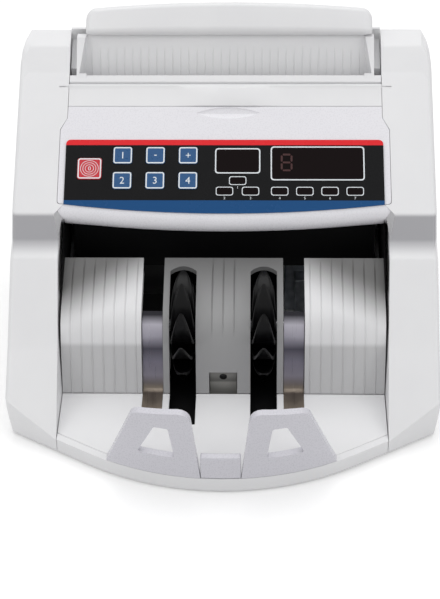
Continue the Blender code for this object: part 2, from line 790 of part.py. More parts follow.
def tab_outline(side, gap):
    """Outline of the panel's side tab in the panel frame, grown by a gap."""
    inner = HALF_OPENING - OVERRUN
    outer = HALF_OPENING + PANEL_TAB + gap
    bottom = -LABEL_HEIGHT + 2 * GAP - gap
    top = bottom + PANEL_TAB_LENGTH + 2 * gap
    points = [
        (inner, bottom, 0.0),
        (outer, bottom, 0.5 * PANEL_TAB),
        (outer, top - 2 * PANEL_TAB, 0.0),
        (inner + OVERRUN, top, 0.0),
        (inner, top, 0.0),
    ]
    return [(side * x, y) for x, y in rounded(points)]


def cover_axis():
    """Centre line of the rear cover hinge, as (y, z)."""
    return REAR_Y - COVER_HINGE_INSET, COVER_HINGE_Z


def base_tray():
    """Floor of the machine with the bowed lip along its front."""
    side_edge = HALF_WIDTH - SIDE_DRAFT_WIDTH - WALL - GAP
    corner_x = HALF_WIDTH - REAR_TAPER_WIDTH - WALL - GAP
    rear = REAR_Y - WALL - GAP
    floor_inset = WALL + GAP * 2
    outline = [(-corner_x, rear), (-side_edge, rear - REAR_TAPER_LENGTH)]
    outline.extend(bow_line(-side_edge, -HALF_OPENING, floor_inset, 2))
    outline.extend(bow_line(-INNER_HALF, INNER_HALF, 0.0, BOW_STEPS))
    outline.extend(bow_line(HALF_OPENING, side_edge, floor_inset, 2))
    outline.extend([(side_edge, rear - REAR_TAPER_LENGTH), (corner_x, rear)])
    tray = add_object("base_tray", prism_z(outline, FOOT_HEIGHT, FLOOR_TOP), "white_plastic")
    lip = bow_line(-INNER_HALF, INNER_HALF, 0.0, BOW_STEPS) + bow_line(INNER_HALF, -INNER_HALF, LIP_DEPTH, BOW_STEPS)
    combine(tray, "front_lip", prism_z(lip, FOOT_HEIGHT, LIP_HEIGHT), "UNION")
    stems = []
    for _, place in foot_places():
        stems.append(prism_z(circle(place, FOOT_STEM_RADIUS + GAP, 12), 0.0, FLOOR_TOP + OVERRUN))
    combine(tray, "foot_holes", join_shapes(stems), "DIFFERENCE")
    width, depth = MAIN_BOARD_SIZE
    x, y = MAIN_BOARD_PLACE
    posts = []
    for post_x in (x - width / 2 + POST_RADIUS, x + width / 2 - POST_RADIUS):
        for post_y in (y - depth / 2 + POST_RADIUS, y + depth / 2 - POST_RADIUS):
            posts.append(prism_z(circle((post_x, post_y), POST_RADIUS, 10), FLOOR_TOP - GAP, MAIN_BOARD_Z - GAP))
    combine(tray, "main_board_posts", join_shapes(posts), "UNION")
    return tray


def foot_places():
    """Names and centres of the four feet."""
    sides = (("left", -FOOT_X), ("right", FOOT_X))
    ends = (("front", FOOT_FRONT_Y), ("rear", FOOT_REAR_Y))
    return [(f"foot_{end}_{side}", (x, y)) for end, y in ends for side, x in sides]


def feet():
    """Rubber feet with stems through the floor and heads above it."""
    for name, place in foot_places():
        profile = [
            (0, 0),
            (FOOT_RADIUS - GAP, 0),
            (FOOT_RADIUS, FOOT_HEIGHT - GAP),
            (FOOT_STEM_RADIUS, FOOT_HEIGHT - GAP),
            (FOOT_STEM_RADIUS, FLOOR_TOP + GAP),
            (FOOT_STEM_RADIUS + 2 * GAP, FLOOR_TOP + GAP),
            (FOOT_STEM_RADIUS - GAP, FLOOR_TOP + WALL),
            (0, FLOOR_TOP + WALL),
        ]
        add_object(name, turned_z(profile, place, 16), "grey_rubber", (*place, 0.0), smooth=True)


def key_table():
    """Name, centre x, centre drop, width, height and material of every key."""
    rows = [("reset_key", *on_label(RESET_SHARES), RESET_WIDTH, RESET_HEIGHT, "key_red")]
    first_x, first_drop = on_label(KEY_FIRST_SHARES)
    pitch_x, pitch_drop = on_label(KEY_PITCH_SHARES)
    names = (("batch_key", "minus_key", "plus_key"), ("magnetic_key", "ultraviolet_key", "add_key"))
    for row, row_names in enumerate(names):
        for column, name in enumerate(row_names):
            x = first_x + column * pitch_x
            drop = first_drop + row * pitch_drop
            rows.append((name, x, drop, KEY_WIDTH, KEY_HEIGHT, "key_blue"))
    return rows


def panel_cutouts():
    """One tool with an opening for every key, window and indicator."""
    shapes = []
    for _, x, drop, width, height, _ in key_table():
        hole = rounded_box_outline(width + 2 * GAP, height + 2 * GAP, KEY_CORNER + GAP)
        shapes.append(on_panel(hole, -WALL - OVERRUN, OVERRUN, (x, drop)))
    for x, drop, width, height in (COUNT_WINDOW, BATCH_WINDOW):
        hole = rounded_box_outline(width + 2 * GAP, height + 2 * GAP, WINDOW_CORNER + GAP)
        shapes.append(on_panel(hole, -WALL - OVERRUN, OVERRUN, (x, drop)))
    for place in INDICATOR_PLACES:
        hole = rounded_box_outline(INDICATOR_WIDTH + 2 * GAP, INDICATOR_HEIGHT + 2 * GAP, INDICATOR_CORNER + GAP)
        shapes.append(on_panel(hole, -WALL - OVERRUN, OVERRUN, place))
    return join_shapes(shapes)


def control_panel():
    """Panel cover with its rounded lip, the label on it, the windows and the indicator lenses."""
    stations = 12
    arc_steps = 6
    rings = []
    back = LABEL_TOP - SLOPE * LABEL_HEIGHT - NORMAL * LIP_RADIUS
    back_y = back.x + LIP_RETURN
    start = PANEL_ANGLE + math.pi / 2
    end = 1.5 * math.pi
    for station in range(stations + 1):
        x = -INNER_HALF + 2 * INNER_HALF * station / stations
        centre = lip_centre(x)
        outer = [PANEL_TOP]
        inner = [PANEL_TOP - NORMAL * WALL]
        for step in range(arc_steps + 1):
            turn = start + (end - start) * step / arc_steps
            ray = Vector((math.cos(turn), math.sin(turn)))
            outer.append(centre + ray * LIP_RADIUS)
            inner.append(centre + ray * (LIP_RADIUS - WALL))
        outer.append(Vector((back_y, centre.y - LIP_RADIUS)))
        inner.append(Vector((back_y, centre.y - LIP_RADIUS + WALL)))
        rings.append([(x, point.x, point.y) for point in outer + inner[::-1]])
    cover = add_object("panel_cover", loft(rings), "panel_plastic", smooth=True)
    for side, name in ((-1, "panel_tab_left"), (1, "panel_tab_right")):
        combine(cover, name, moved(prism_z(tab_outline(side, 0.0), EASE - WALL, -EASE), PANEL_FRAME), "UNION")
    posts = []
    for x in (-BOARD_HALF_WIDTH + POST_RADIUS, BOARD_HALF_WIDTH - POST_RADIUS):
        for drop in (BOARD_TOP_DROP + POST_RADIUS, BOARD_TOP_DROP + BOARD_HEIGHT - POST_RADIUS):
            posts.append(on_panel(circle((0, 0), POST_RADIUS, 16), -BOARD_DEPTH + GAP, -WALL / 2, (x, drop)))
    combine(cover, "board_posts", join_shapes(posts), "UNION")

    label_half = HALF_OPENING - LABEL_INSET
    bottom = [
        (x, -LABEL_HEIGHT - LIP_BOW * (1 - (x / HALF_OPENING) ** 2))
        for x in [label_half - 2 * label_half * step / 16 for step in range(17)]
    ]
    corners = [(label_half, 0.0, LABEL_CORNER), *[(x, y, 0.0) for x, y in bottom], (-label_half, 0.0, LABEL_CORNER)]
    label = add_object("control_label", on_panel(rounded(corners), GAP, LABEL_TOP_FACE), "label_black")
    cutouts = combine(cover, "panel_cutouts", panel_cutouts(), "DIFFERENCE")
    use_tool(label, cutouts, "DIFFERENCE")

    scoop = scoop_shape()
    combine(cover, "finger_scoop", scoop, "DIFFERENCE")

    for name, (x, drop, width, height) in (("count_window", COUNT_WINDOW), ("batch_window", BATCH_WINDOW)):
        outline = rounded_box_outline(width, height, WINDOW_CORNER)
        shape = on_panel(outline, -LENS_DEPTH, LABEL_TOP_FACE + LENS_PROUD, (x, drop))
        add_object(name, shape, "smoked_window")
    outline = rounded_box_outline(INDICATOR_WIDTH, INDICATOR_HEIGHT, INDICATOR_CORNER)
    lens_foot = -WALL - 2 * GAP
    lenses = [on_panel(outline, lens_foot, LABEL_TOP_FACE + LENS_PROUD, place) for place in INDICATOR_PLACES]
    reach = INDICATOR_WIDTH / 2 + 2 * GAP
    rise = INDICATOR_HEIGHT / 2 + 2 * GAP
    step_x, step_drop = INDICATOR_PLACES[0]
    left = min(x for x, _ in INDICATOR_PLACES) - reach
    right = max(x for x, _ in INDICATOR_PLACES) + reach
    drop = max(drop for _, drop in INDICATOR_PLACES)
    carrier = [(left, -drop - rise), (right, -drop - rise), (right, rise - drop), (step_x + reach, rise - drop)]
    carrier.extend([(step_x + reach, rise - step_drop), (left, rise - step_drop)])
    guide = add_object("indicator_lenses", on_panel(carrier, lens_foot - GAP, -WALL - GAP), "smoked_window")
    combine(guide, "lens_faces", join_shapes(lenses), "UNION")


def scoop_shape():
    """Lens-shaped hollow for a fingertip, just below the flap."""
    rings = []
    rows = 3
    count = 20
    for row in range(rows + 1):
        depth = row / rows
        size = math.sqrt(1 - depth * depth) if row < rows else 0.05
        ring = []
        for index in range(count):
            turn = 2 * math.pi * index / count
            x = FLAP_DOME_X + SCOOP_HALF_WIDTH * size * math.cos(turn)
            y = SCOOP_HALF_HEIGHT * size * math.sin(turn) * abs(math.sin(turn))
            ring.append((x, y + LABEL_DROP - SCOOP_HALF_HEIGHT - 2 * GAP, -SCOOP_DEPTH * depth))
        rings.append(ring)
    lid = [(x, y, OVERRUN) for x, y, _ in rings[0]]
    return moved(loft([lid] + rings), PANEL_FRAME)


def keys():
    """Seven keys, each on its own empty at the key's centre."""
    for name, x, drop, width, height, material in key_table():
        centre = PANEL_FRAME @ Vector((x, -drop, 0.0))
        guide = bpy.data.objects.new(name + "_slide", None)
        bpy.context.scene.collection.objects.link(guide)
        guide.location = centre
        outline = rounded_box_outline(width, height, KEY_CORNER)
        small = [(a * 0.96, b * 0.96) for a, b in outline]
        face = LABEL_TOP_FACE + KEY_PROUD
        rings = []
        for ring, level in ((outline, -KEY_DEPTH), (outline, face - KEY_PROUD / 2), (small, face)):
            rings.append([(a + x, b - drop, level) for a, b in ring])
        add_object(name, moved(loft(rings), PANEL_FRAME), material, tuple(centre), parent=guide)


def display_parts():
    """Display board behind the panel with its modules, lamps and key switches."""
    outline = [
        (-BOARD_HALF_WIDTH, -BOARD_TOP_DROP),
        (BOARD_HALF_WIDTH, -BOARD_TOP_DROP),
        (BOARD_HALF_WIDTH, -BOARD_TOP_DROP - BOARD_HEIGHT),
        (-BOARD_HALF_WIDTH, -BOARD_TOP_DROP - BOARD_HEIGHT),
    ]
    board = add_object("display_board", on_panel(outline, -BOARD_DEPTH - BOARD_THICKNESS, -BOARD_DEPTH), "board_green")
    foot = -BOARD_DEPTH - GAP
    for name, (x, drop, width, height) in (("count_display", COUNT_WINDOW), ("batch_display", BATCH_WINDOW)):
        module = rounded_box_outline(width - 2 * RIM, height - 2 * RIM, 0.0)
        combine(board, name, on_panel(module, foot, -LENS_DEPTH - GAP, (x, drop)), "UNION")
    lamp_top = -WALL - 4 * GAP
    lamps = [on_panel(circle((0, 0), LED_RADIUS, 8), foot, lamp_top, place) for place in INDICATOR_PLACES]
    combine(board, "indicator_lamps", join_shapes(lamps), "UNION")
    switches = []
    plungers = []
    plunger_top = -KEY_DEPTH - KEY_TRAVEL - GAP
    body_top = plunger_top - 2 * GAP
    for _, x, drop, _, _, _ in key_table():
        switches.append(on_panel(rounded_box_outline(SWITCH_SIZE, SWITCH_SIZE, 0.0), foot, body_top, (x, drop)))
        plungers.append(on_panel(circle((0, 0), PLUNGER_RADIUS, 8), body_top - GAP, plunger_top, (x, drop)))
    combine(board, "key_switches", join_shapes(switches), "UNION")
    combine(board, "switch_plungers", join_shapes(plungers), "UNION")


def top_flap():
    """Flap above the panel, domed in the middle, with a hinge barrel along its rear edge."""
    axis = FLAP_AXIS
    front = PANEL_TOP + SLOPE * GAP
    stations = [-INNER_HALF, FLAP_DOME_X - FLAP_DOME_HALF]
    steps = 14
    stations.extend(FLAP_DOME_X - FLAP_DOME_HALF + 2 * FLAP_DOME_HALF * step / steps for step in range(1, steps + 1))
    stations.append(INNER_HALF)
    rings = []
    for x in stations:
        share = max(1 - ((x - FLAP_DOME_X) / FLAP_DOME_HALF) ** 2, 0.0)
        rise = FLAP_DOME * share * share
        low = front + NORMAL * rise * 0.4
        high = front + SLOPE * FLAP_LENGTH + NORMAL * rise
        ring = [low - NORMAL * WALL, low - NORMAL * GAP, low + SLOPE * GAP]
        ring.append((low + high) / 2 + NORMAL * rise * 0.3)
        ring.append(high)
        for step in range(9):
            turn = PANEL_ANGLE + math.radians(80 - 200 * step / 8)
            ring.append(axis + Vector((math.cos(turn), math.sin(turn))) * FLAP_BARREL_RADIUS)
        ring.append(high - NORMAL * (WALL + rise * 0.6))
        rings.append([(x, point.x, point.y) for point in ring])
    pivot = bpy.data.objects.new("flap_pivot", None)
    bpy.context.scene.collection.objects.link(pivot)
    pivot.location = (0, axis.x, axis.y)
    flap = add_object("top_flap", loft(rings), "white_plastic", (0, axis.x, axis.y), smooth=True, parent=pivot)
    pin_end = HALF_OPENING + WALL
    pin = tube_x(tuple(axis), (FLAP_PIN_RADIUS,), -pin_end, pin_end, 16)
    combine(flap, "flap_pins", pin, "UNION")


def hopper_places():
    """Named places of the hopper in (y, z): bar front, bar rear, plate line."""
    bar_front = BAR_FRONT
    bar_top = BAR_TOP
    bar_rear = bar_front + BAR_DEPTH
    run = REAR_Y - bar_rear
    rise = ROLL_BOTTOM - bar_top
    plate_top_y = REAR_Y - WALL - PLATE_THICKNESS - PLATE_CLEARANCE
    line = [
        (bar_rear + 0.20 * run, bar_top - 0.72 * rise, 0.0),
        (bar_rear + 0.33 * run, bar_top - 0.10 * rise, 0.3 * run),
        (plate_top_y, ROLL_BOTTOM - GAP * 4, 0.0),
    ]
    return bar_front, bar_rear, bar_top, line


def hopper_frame():
    """Hopper tray: front bar, flared side walls, ribbed back plate and the arms of the friction rollers."""
    bar_front, bar_rear, bar_top, line = hopper_places()
    path = rounded_path(line, 6)
    rib_count = int(2 * HOPPER_HALF / HOPPER_RIB_PITCH)
    first = -(rib_count - 1) * HOPPER_RIB_PITCH / 2
    places = [first + index * HOPPER_RIB_PITCH for index in range(rib_count)]
    ribs = (places, HOPPER_RIB_WIDTH, HOPPER_RIB_HEIGHT)
    sheet = ribbed_sheet(resample(path, 6), -HOPPER_OUTER_HALF, HOPPER_OUTER_HALF, ribs, PLATE_THICKNESS, 0.0, 0.72)
    pivot = bpy.data.objects.new("rear_cover_pivot", None)
    bpy.context.scene.collection.objects.link(pivot)
    pivot.location = (0, *cover_axis())
    frame = add_object("hopper_frame", sheet, "white_plastic", tuple(pivot.location), parent=pivot)

    bar = [
        (bar_front, bar_top),
        (bar_rear, bar_top + BAR_SLOPE),
        (bar_rear, bar_top - BAR_DROP),
        (bar_front, bar_top - BAR_DROP),
    ]
    combine(frame, "hopper_bar", prism_x(bar, -INNER_HALF, INNER_HALF), "UNION")
    foot = Vector(path[0])
    top = Vector(path[-1])
    wall_side = rounded(
        [
            (bar_rear - BAR_DEPTH / 2, bar_top - BAR_DROP, 0.0),
            (bar_rear - BAR_DEPTH / 2, bar_top + BAR_SLOPE / 2, 0.0),
            (top.x - BAR_DEPTH, top.y, 0.0),
            (top.x + PLATE_THICKNESS / 2, top.y, 0.0),
            (foot.x + PLATE_THICKNESS / 2, foot.y + GAP, 0.0),
        ]
    )
    arm_y, arm_z = friction_axis()
    arm = rounded(
        [
            (foot.x + PLATE_THICKNESS, foot.y + BAR_DROP, 0.0),
            (foot.x - PLATE_THICKNESS, foot.y + BAR_DROP, 0.0),
            (arm_y - FRICTION_RADIUS / 2, arm_z + FRICTION_RADIUS, ARM_CORNER),
            (arm_y - FRICTION_RADIUS / 2, arm_z - FRICTION_RADIUS / 2, ARM_CORNER),
            (arm_y + FRICTION_RADIUS / 2, arm_z - FRICTION_RADIUS / 2, ARM_CORNER),
            (foot.x + 2 * PLATE_THICKNESS, foot.y, 0.0),
        ]
    )
    half = HOPPER_HALF
    for side, word in ((-1, "left"), (1, "right")):
        low = side * half
        high = side * HOPPER_OUTER_HALF
        block = prism_x(wall_side, min(low, high), max(low, high))
        wall = combine(frame, "hopper_wall_" + word, block, "UNION")
        plan = [
            (low - side * OVERRUN, bar_rear + GAP),
            (high - side * HOPPER_WALL, bar_rear + GAP),
            (low, top.x),
            (low - side * OVERRUN, top.x),
        ]
        funnel = prism_z(plan, foot.y - OVERRUN, top.y + OVERRUN)
        combine(wall, "hopper_funnel_" + word, funnel, "DIFFERENCE")
        arm_low = side * (half - WALL)
        arm_high = side * half
        arm_shape = prism_x(arm, min(arm_low, arm_high), max(arm_low, arm_high))
        combine(frame, "roller_arm_" + word, arm_shape, "UNION")
    bore = tube_x((arm_y, arm_z), (SHAFT_RADIUS * 0.75 + GAP,), -HALF_OPENING, HALF_OPENING, 16)
    combine(frame, "friction_bore", bore, "DIFFERENCE")
    return pivot


def resample(path, count):
    """Points at even steps along a line."""
    lengths = [0.0]
    for start, end in zip(path, path[1:]):
        lengths.append(lengths[-1] + (Vector(end) - Vector(start)).length)
    result = []
    for index in range(count + 1):
        wanted = lengths[-1] * index / count
        spot = 0
        while spot < len(path) - 2 and lengths[spot + 1] < wanted:
            spot += 1
        part = (wanted - lengths[spot]) / (lengths[spot + 1] - lengths[spot])
        point = Vector(path[spot]).lerp(Vector(path[spot + 1]), part)
        result.append(tuple(point))
    return result


def friction_axis():
    """Centre line of the friction rollers, level with the feed shaft."""
    return FEED_Y + FEED_RADIUS + FRICTION_RADIUS + NOTE_GAP, FEED_Z


def rear_cover(pivot):
    """Rear cover that swings back with the hopper, the roll along its top and the gap screw."""
    place = tuple(pivot.location)
    wall = box((-INNER_HALF, REAR_Y - WALL, COVER_BOTTOM), (INNER_HALF, REAR_Y, ROLL_BOTTOM - GAP))
    cover = add_object("rear_cover", wall, "white_plastic", place, parent=pivot)
    wing_top = SHOULDER_HEIGHT - 2 * WALL
    wing = [
        (REAR_Y - WING_FRONT, PICKUP_Z),
        (REAR_Y - WING_FRONT, wing_top - WING_DROP * 0.7),
        (REAR_Y - WALL / 2, wing_top),
        (REAR_Y - WALL / 2, PICKUP_Z - WING_DROP),
    ]
    axis_y, axis_z = cover_axis()
    for side, word in ((-1, "left"), (1, "right")):
        low = side * (HOPPER_OUTER_HALF + GAP)
        high = side * INNER_HALF
        combine(cover, "cover_wing_" + word, prism_x(wing, min(low, high), max(low, high)), "UNION")
        knuckle_low = side * (INNER_HALF - KNUCKLE_LENGTH)
        arm = box(
            (min(knuckle_low, high), axis_y, axis_z),
            (max(knuckle_low, high), REAR_Y, COVER_BOTTOM + KNUCKLE_RADIUS),
        )
        combine(cover, "knuckle_arm_" + word, arm, "UNION")
        ring = tube_x((axis_y, axis_z), (KNUCKLE_RADIUS,), min(knuckle_low, high), max(knuckle_low, high), 24)
        combine(cover, "knuckle_" + word, ring, "UNION")
    bore = tube_x((axis_y, axis_z), (COVER_PIN_RADIUS + GAP,), -HALF_OPENING, HALF_OPENING, 16)
    combine(cover, "cover_pin_bore", bore, "DIFFERENCE")
    screw_hole = prism_y(circle((0.0, KNOB_Z), SCREW_RADIUS + GAP, 16), REAR_Y - OVERRUN, REAR_Y + OVERRUN)
    combine(cover, "gap_screw_hole", screw_hole, "DIFFERENCE")
    pin_end = HALF_OPENING + WALL
    add_object(
        "cover_hinge_pin",
        tube_x((axis_y, axis_z), (COVER_PIN_RADIUS,), -pin_end, pin_end, 16),
        "bright_steel",
        smooth=True,
    )
    add_object("hopper_roll", roll_shape(), "white_plastic", place, smooth=True, parent=pivot)
    gap_screw(pivot)
    friction_rollers(pivot)


def roll_shape():
    """The thick rounded roll along the top of the hopper, crowned in the middle."""
    stations = 16
    front = REAR_Y - ROLL_DEPTH
    rings = []
    for station in range(stations + 1):
        share = -math.cos(math.pi * station / stations)
        x = ROLL_HALF_WIDTH * share
        edge = max(abs(x) - (ROLL_HALF_WIDTH - ROLL_END_RADIUS), 0.0)
        tuck = ROLL_END_RADIUS - math.sqrt(max(ROLL_END_RADIUS ** 2 - edge ** 2, 0.0))
        crown = ROLL_TOP - ROLL_CROWN * share * share
        corners = [
            (REAR_Y - tuck * 0.5, ROLL_BOTTOM, 0.0),
            (REAR_Y - tuck * 0.5, crown - tuck, ROLL_DEPTH * 0.12),
            (REAR_Y - ROLL_DEPTH * 0.30, crown - tuck, ROLL_DEPTH * 0.30),
            (front + tuck * 0.5, ROLL_BOTTOM + (crown - ROLL_BOTTOM) * 0.28, ROLL_DEPTH * 0.30),
            (front + ROLL_DEPTH * 0.10 + tuck * 0.5, ROLL_BOTTOM, ROLL_DEPTH * 0.10),
        ]
        rings.append([(HOPPER_SHIFT + x, y, z) for y, z in rounded(corners, 3)])
    return loft(rings)


def gap_screw(pivot):
    """Knurled knob at the rear that sets the gap of the friction rollers."""
    place = (0.0, REAR_Y - WALL - KNOB_HEIGHT - GAP, KNOB_Z)
    guide = bpy.data.objects.new("gap_screw_pivot", None)
    bpy.context.scene.collection.objects.link(guide)
    guide.location = place
    knob_front = REAR_Y - WALL - GAP
    stem_front = friction_axis()[0] + FRICTION_RADIUS + GAP
    knurls = 20
    outline = []
    for index in range(knurls * 2):
        radius = KNOB_RADIUS if index % 2 else KNOB_RADIUS - GAP * 2
        turn = math.pi * index / knurls
        outline.append((radius * math.cos(turn), KNOB_Z + radius * math.sin(turn)))
    knob = add_object("gap_screw", prism_y(outline, knob_front - KNOB_HEIGHT, knob_front), "black_plastic", place, parent=guide)
    stem = prism_y(circle((0.0, KNOB_Z), SCREW_RADIUS, 16), stem_front, REAR_Y - GAP)
    combine(knob, "gap_screw_stem", stem, "UNION")
    return pivot


def friction_rollers(pivot):
    """Fixed rubber rollers that hold back all but one note."""
    y, z = friction_axis()
    place = tuple(pivot.location)
    radius = SHAFT_RADIUS * 0.75
    end = HOPPER_HALF
    rollers = add_object("friction_rollers", tube_x((y, z), (radius,), -end, end, 16), "grey_rubber", place, True, pivot)
    shapes = []
    for x in (-ROLLER_OFFSET, ROLLER_OFFSET):
        shapes.append(tube_x((y, z), (FRICTION_RADIUS,), x - ROLLER_WIDTH / 2, x + ROLLER_WIDTH / 2))
    combine(rollers, "friction_sleeves", join_shapes(shapes), "UNION")


def stacker_path():
    """Profile of the stacker plates from the floor up to their top edge, in (y, z)."""
    run = STACKER_TOP_Y - STACKER_FOOT_Y
    rise = STACKER_TOP_Z - STACKER_FOOT_Z
    corners = [
        (STACKER_FOOT_Y, STACKER_FOOT_Z, 0.0),
        (STACKER_FOOT_Y + 0.17 * run, STACKER_FOOT_Z + 0.48 * rise, 1.2 * run),
        (STACKER_FOOT_Y + 0.29 * run, STACKER_FOOT_Z + 0.72 * rise, 0.35 * run),
        (STACKER_TOP_Y, STACKER_TOP_Z, 0.0),
    ]
    return rounded_path(corners, 5)


def stacker():
    """Floor, ribbed side plates, centre plate and steel guide strips of the stacker."""
    path = resample(stacker_path(), PLATE_ROWS)
    flange_path = resample(stacker_path(), FLANGE_ROWS)[1:-1]
    strip_outer = CENTRE_HALF + GAP + STRIP_WIDTH + GAP
    for side, word in ((-1, "left"), (1, "right")):
        low = min(side * strip_outer, side * INNER_HALF)
        high = max(side * strip_outer, side * INNER_HALF)
        count = int((INNER_HALF - strip_outer) / STACKER_RIB_PITCH)
        places = sorted(side * (strip_outer + (index + 0.5) * STACKER_RIB_PITCH) for index in range(count))
        ribs = (places, STACKER_RIB_WIDTH, STACKER_RIB_HEIGHT)
        sheet = ribbed_sheet(path, low, high, ribs, STACKER_THICKNESS, 0.0, 0.94)
        plate = add_object("stacker_plate_" + word, sheet, "white_plastic")
        edge = side * (strip_outer + EASE)
        flange_end = side * (strip_outer + FLANGE_WIDTH)
        flange = strip_along(flange_path, min(edge, flange_end), max(edge, flange_end), -STACKER_THICKNESS / 2, -FLANGE_DEPTH)
        combine(plate, "plate_flange_" + word, flange, "UNION")
        strip_low = side * (CENTRE_HALF + GAP)
        strip_high = side * (CENTRE_HALF + GAP + STRIP_WIDTH)
        lower = path[: len(path) * 3 // 5 + 1]
        strip = strip_along(
            lower,
            min(strip_low, strip_high),
            max(strip_low, strip_high),
            -STRIP_RECESS,
            -STRIP_RECESS - STRIP_THICKNESS,
        )
        add_object("guide_strip_" + word, strip, "bright_steel")

    centre = add_object("stacker_plate_centre", centre_sheet(path), "white_plastic")
    flanges = []
    for side in (-1, 1):
        edge = side * (CENTRE_HALF - EASE)
        inner = side * (CENTRE_HALF - FLANGE_WIDTH)
        flanges.append(strip_along(flange_path, min(edge, inner), max(edge, inner), -STACKER_THICKNESS / 2, -FLANGE_DEPTH))
    combine(centre, "centre_flanges", join_shapes(flanges), "UNION")
    floor = add_object("stacker_floor", floor_shape(), "white_plastic")
    slots = combine(centre, "impeller_slots", slot_shapes(), "DIFFERENCE")
    use_tool(floor, slots, "DIFFERENCE")
    notch = box(
        (-SENSOR_WIDTH / 2, STACKER_FOOT_Y - OVERRUN, 0.0),
        (SENSOR_WIDTH / 2, STACKER_FOOT_Y + 4 * OVERRUN, SENSOR_TOP_Z),
    )
    combine(centre, "sensor_notch", notch, "DIFFERENCE")
    sensor_back = STACKER_FOOT_Y + 2 * SENSOR_DEPTH
    holder = box(
        (-SENSOR_WIDTH / 2 + GAP, sensor_back - SENSOR_DEPTH / 2, INSIDE_Z),
        (SENSOR_WIDTH / 2 - GAP, sensor_back + SENSOR_DEPTH / 2, SENSOR_TOP_Z - GAP),
    )
    sensor = add_object("stack_sensor", holder, "white_plastic")
    hole_z = SENSOR_TOP_Z - 2 * SENSOR_HOLE_RADIUS
    hole = prism_y(circle((0.0, hole_z), SENSOR_HOLE_RADIUS, 16), sensor_back - OVERRUN, sensor_back)
    combine(sensor, "sensor_hole", hole, "DIFFERENCE")


def centre_sheet(path):
    """Centre plate with three narrow raised lines down its middle."""
    places = [-STACKER_RIB_PITCH, 0.0, STACKER_RIB_PITCH]
    ribs = (places, STACKER_RIB_WIDTH, STACKER_RIB_HEIGHT)
    return ribbed_sheet(path, -CENTRE_HALF, CENTRE_HALF, ribs, STACKER_THICKNESS, 0.45, 0.94)


def floor_shape():
    """Floor that slopes gently from the plates down to the lip."""
    rings = []
    steps = BOW_STEPS
    under = STACKER_FLOOR_THICKNESS
    back_y = STACKER_FOOT_Y - GAP
    for step in range(steps + 1):
        x = -INNER_HALF + 2 * INNER_HALF * step / steps
        front = bow_y(x, LIP_DEPTH + GAP)
        rings.append(
            [
                (x, front, LIP_HEIGHT),
                (x, back_y, STACKER_FOOT_Z),
                (x, back_y, STACKER_FOOT_Z - under),
                (x, front, LIP_HEIGHT - under),
            ]
        )
    return loft(rings)


def slot_shapes():
    """Two slots with arched ends for the impellers, through the centre plate and the floor."""
    shapes = []
    steps = 6
    slot_front = IMPELLER_Y - SLOT_FRONT_REACH
    slot_back = IMPELLER_Y + SLOT_BACK_REACH
    for side in (-1, 1):
        middle = side * (SLOT_INNER_X + SLOT_WIDTH / 2)
        outline = [(middle - SLOT_WIDTH / 2, slot_front)]
        for step in range(steps + 1):
            across = 2 * step / steps - 1
            outline.append((middle + across * SLOT_WIDTH / 2, slot_back - SLOT_ARCH * across * across))
        outline.append((middle + SLOT_WIDTH / 2, slot_front))
        shapes.append(prism_z(outline, 0.0, STACKER_TOP_Z + OVERRUN))
    return join_shapes(shapes)


def pocket_stops():
    """Two letter-shaped stops and a low wall along the front lip, curved with the bow."""
    foot = LIP_HEIGHT + GAP
    reach = STOP_FOOT_OUTER + OVERRUN
    shell = bow_line(-reach, reach, 0.0, BOW_STEPS) + bow_line(reach, -reach, LIP_DEPTH, BOW_STEPS)
    for side, word in ((-1, "left"), (1, "right")):
        outline = rounded(
            [
                (STOP_FOOT_INNER, foot, 0.0),
                (STOP_TOP_INNER, foot + STOP_INNER_HEIGHT, STOP_CORNER),
                (STOP_TOP_OUTER, foot + STOP_OUTER_HEIGHT, STOP_CORNER),
                (STOP_FOOT_OUTER, foot, 0.0),
            ]
        )
        hole = rounded(
            [
                (STOP_HOLE_FOOT_INNER, foot + STOP_HOLE_BOTTOM, STOP_HOLE_CORNER),
                (STOP_HOLE_TOP_INNER, foot + STOP_HOLE_TOP, STOP_HOLE_CORNER),
                (STOP_HOLE_TOP_OUTER, foot + STOP_HOLE_TOP, STOP_HOLE_CORNER),
                (STOP_HOLE_FOOT_OUTER, foot + STOP_HOLE_BOTTOM, STOP_HOLE_CORNER),
            ]
        )
        back = bow_y(STOP_FOOT_OUTER, LIP_DEPTH) + OVERRUN
        front = FRONT_Y - OVERRUN
        body = prism_y([(side * x, z) for x, z in outline], front, back)
        stop = add_object("pocket_stop_" + word, body, "panel_plastic", smooth=True)
        curve = prism_z(shell, foot - OVERRUN, foot + STOP_INNER_HEIGHT + OVERRUN)
        combine(stop, "stop_curve_" + word, curve, "INTERSECT")
        opening = prism_y([(side * x, z) for x, z in hole], front - OVERRUN, back + OVERRUN)
        combine(stop, "stop_opening_" + word, opening, "DIFFERENCE")
    half = STOP_FOOT_INNER - GAP
    wall = bow_line(-half, half, 0.0, 6) + bow_line(half, -half, LIP_DEPTH, 6)
    add_object("pocket_stop_centre", prism_z(wall, foot, foot + CENTRE_STOP_HEIGHT), "panel_plastic", smooth=True)


